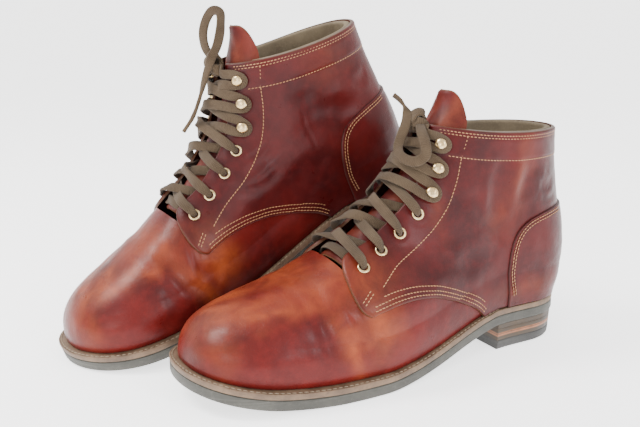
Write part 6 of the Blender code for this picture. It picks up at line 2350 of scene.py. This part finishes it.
def add_local(ob, boot, V_mm=None):
    """keeps boot millimetres on the points, for layers that follow the boot"""
    me = ob.data
    co = np.zeros(len(me.vertices) * 3)
    me.vertices.foreach_get('co', co)
    W = co.reshape(-1, 3) / MM
    if boot == 'left':
        L = W - np.array([PAIR_SHIFT[0], PAIR_SHIFT[1], 0])
    else:
        y = W[:, 1] - RIGHT_Y - TILT_PIVOT_Y - PAIR_SHIFT[1]
        z = W[:, 2]
        L = np.stack([-(W[:, 0] - RIGHT_X - PAIR_SHIFT[0]), y * math.cos(TH) + z * math.sin(TH) + TILT_PIVOT_Y, -y * math.sin(TH) + z * math.cos(TH)], 1)
    a = me.attributes.new('local', 'FLOAT_VECTOR', 'POINT')
    a.data.foreach_set('vector', L.astype(np.float32).ravel())


for boot in ('left', 'right'):
    build_bow(boot, LA)
for boot in ('left', 'right'):
    build_lace(boot, LA)
    build_knot(boot, LA)
    build_vamp(boot, UP)
    build_quarter(boot, 1, QU)
    build_quarter(boot, -1, QU)
    build_cover(boot, CO)
    build_lining(boot, LI)
    build_tongue(boot, TO)
    build_welt(boot, WE)
    build_stitching(boot, TH_MAT)
    build_welt_stitching(boot, WT_MAT)
    build_eyelets(boot, BR)
    build_hooks(boot, BR)
    nn = 150
    groove = lambda q, d, top: np.where(top, 0.0, 0.35 * np.exp(-((d - 5.0) / 0.9) ** 2)) * smooth(d / 2.0)
    build_plate(boot + '_outsole_worn', boot, SO, sole_margin, nn, lambda y: sole_z(y), lambda y: sole_z(y) + OUTSOLE_T,
                [(0.9, 1.0), (0.25, 0.93), (0.0, 0.78), (0.05, 0.5), (0.0, 0.22), (0.35, 0.06), (1.2, 0.0)], 24, boot + '_outsole', groove)
    build_plate(boot + '_insole_board', boot, IN, lambda y: -6.3, nn // 2, lambda y: sole_z(y) + OUTSOLE_T + 2 * GAP + 3.0, lambda y: sole_z(y) + OUTSOLE_T + 2 * GAP + 6.0,
                [(0.6, 1.0), (0.0, 0.8), (0.0, 0.0)], 16, boot + '_insole')
    hn = 60
    o = build_plate(boot + '_heel_lifts', boot, ST, lambda y: sole_margin(y) - 0.9, hn, lambda y: TOPLIFT_T + GAP * 0.5 + 0 * y, lambda y: sole_z(y) - GAP * 0.3,
                    [(0.0, 1.0), (0.1, 0.75), (0.5, 0.72), (0.2, 0.68), (0.35, 0.46), (0.7, 0.43), (0.45, 0.40), (0.6, 0.12), (0.9, 0.0)], 12, boot + '_heel_stack', y0=BREAST_Y + 1.0)
    add_local(o, boot)
    build_plate(boot + '_top_lift_worn', boot, TL, lambda y: sole_margin(y) - 1.5, hn, lambda y: 0.0 * y, lambda y: TOPLIFT_T + 0.0 * y,
                [(0.5, 1.0), (0.1, 0.92), (0.25, 0.5), (0.6, 0.15), (1.3, 0.0)], 12, boot + '_top_lift', y0=BREAST_Y + 1.5)
    for node, mt in (('cork_filler', CK), ('shank', SH)):
        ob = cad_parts[boot + '_' + node]
        if not ob.material_slots:
            ob.data.materials.append(mt)
        for sl in ob.material_slots:
            sl.material = mt
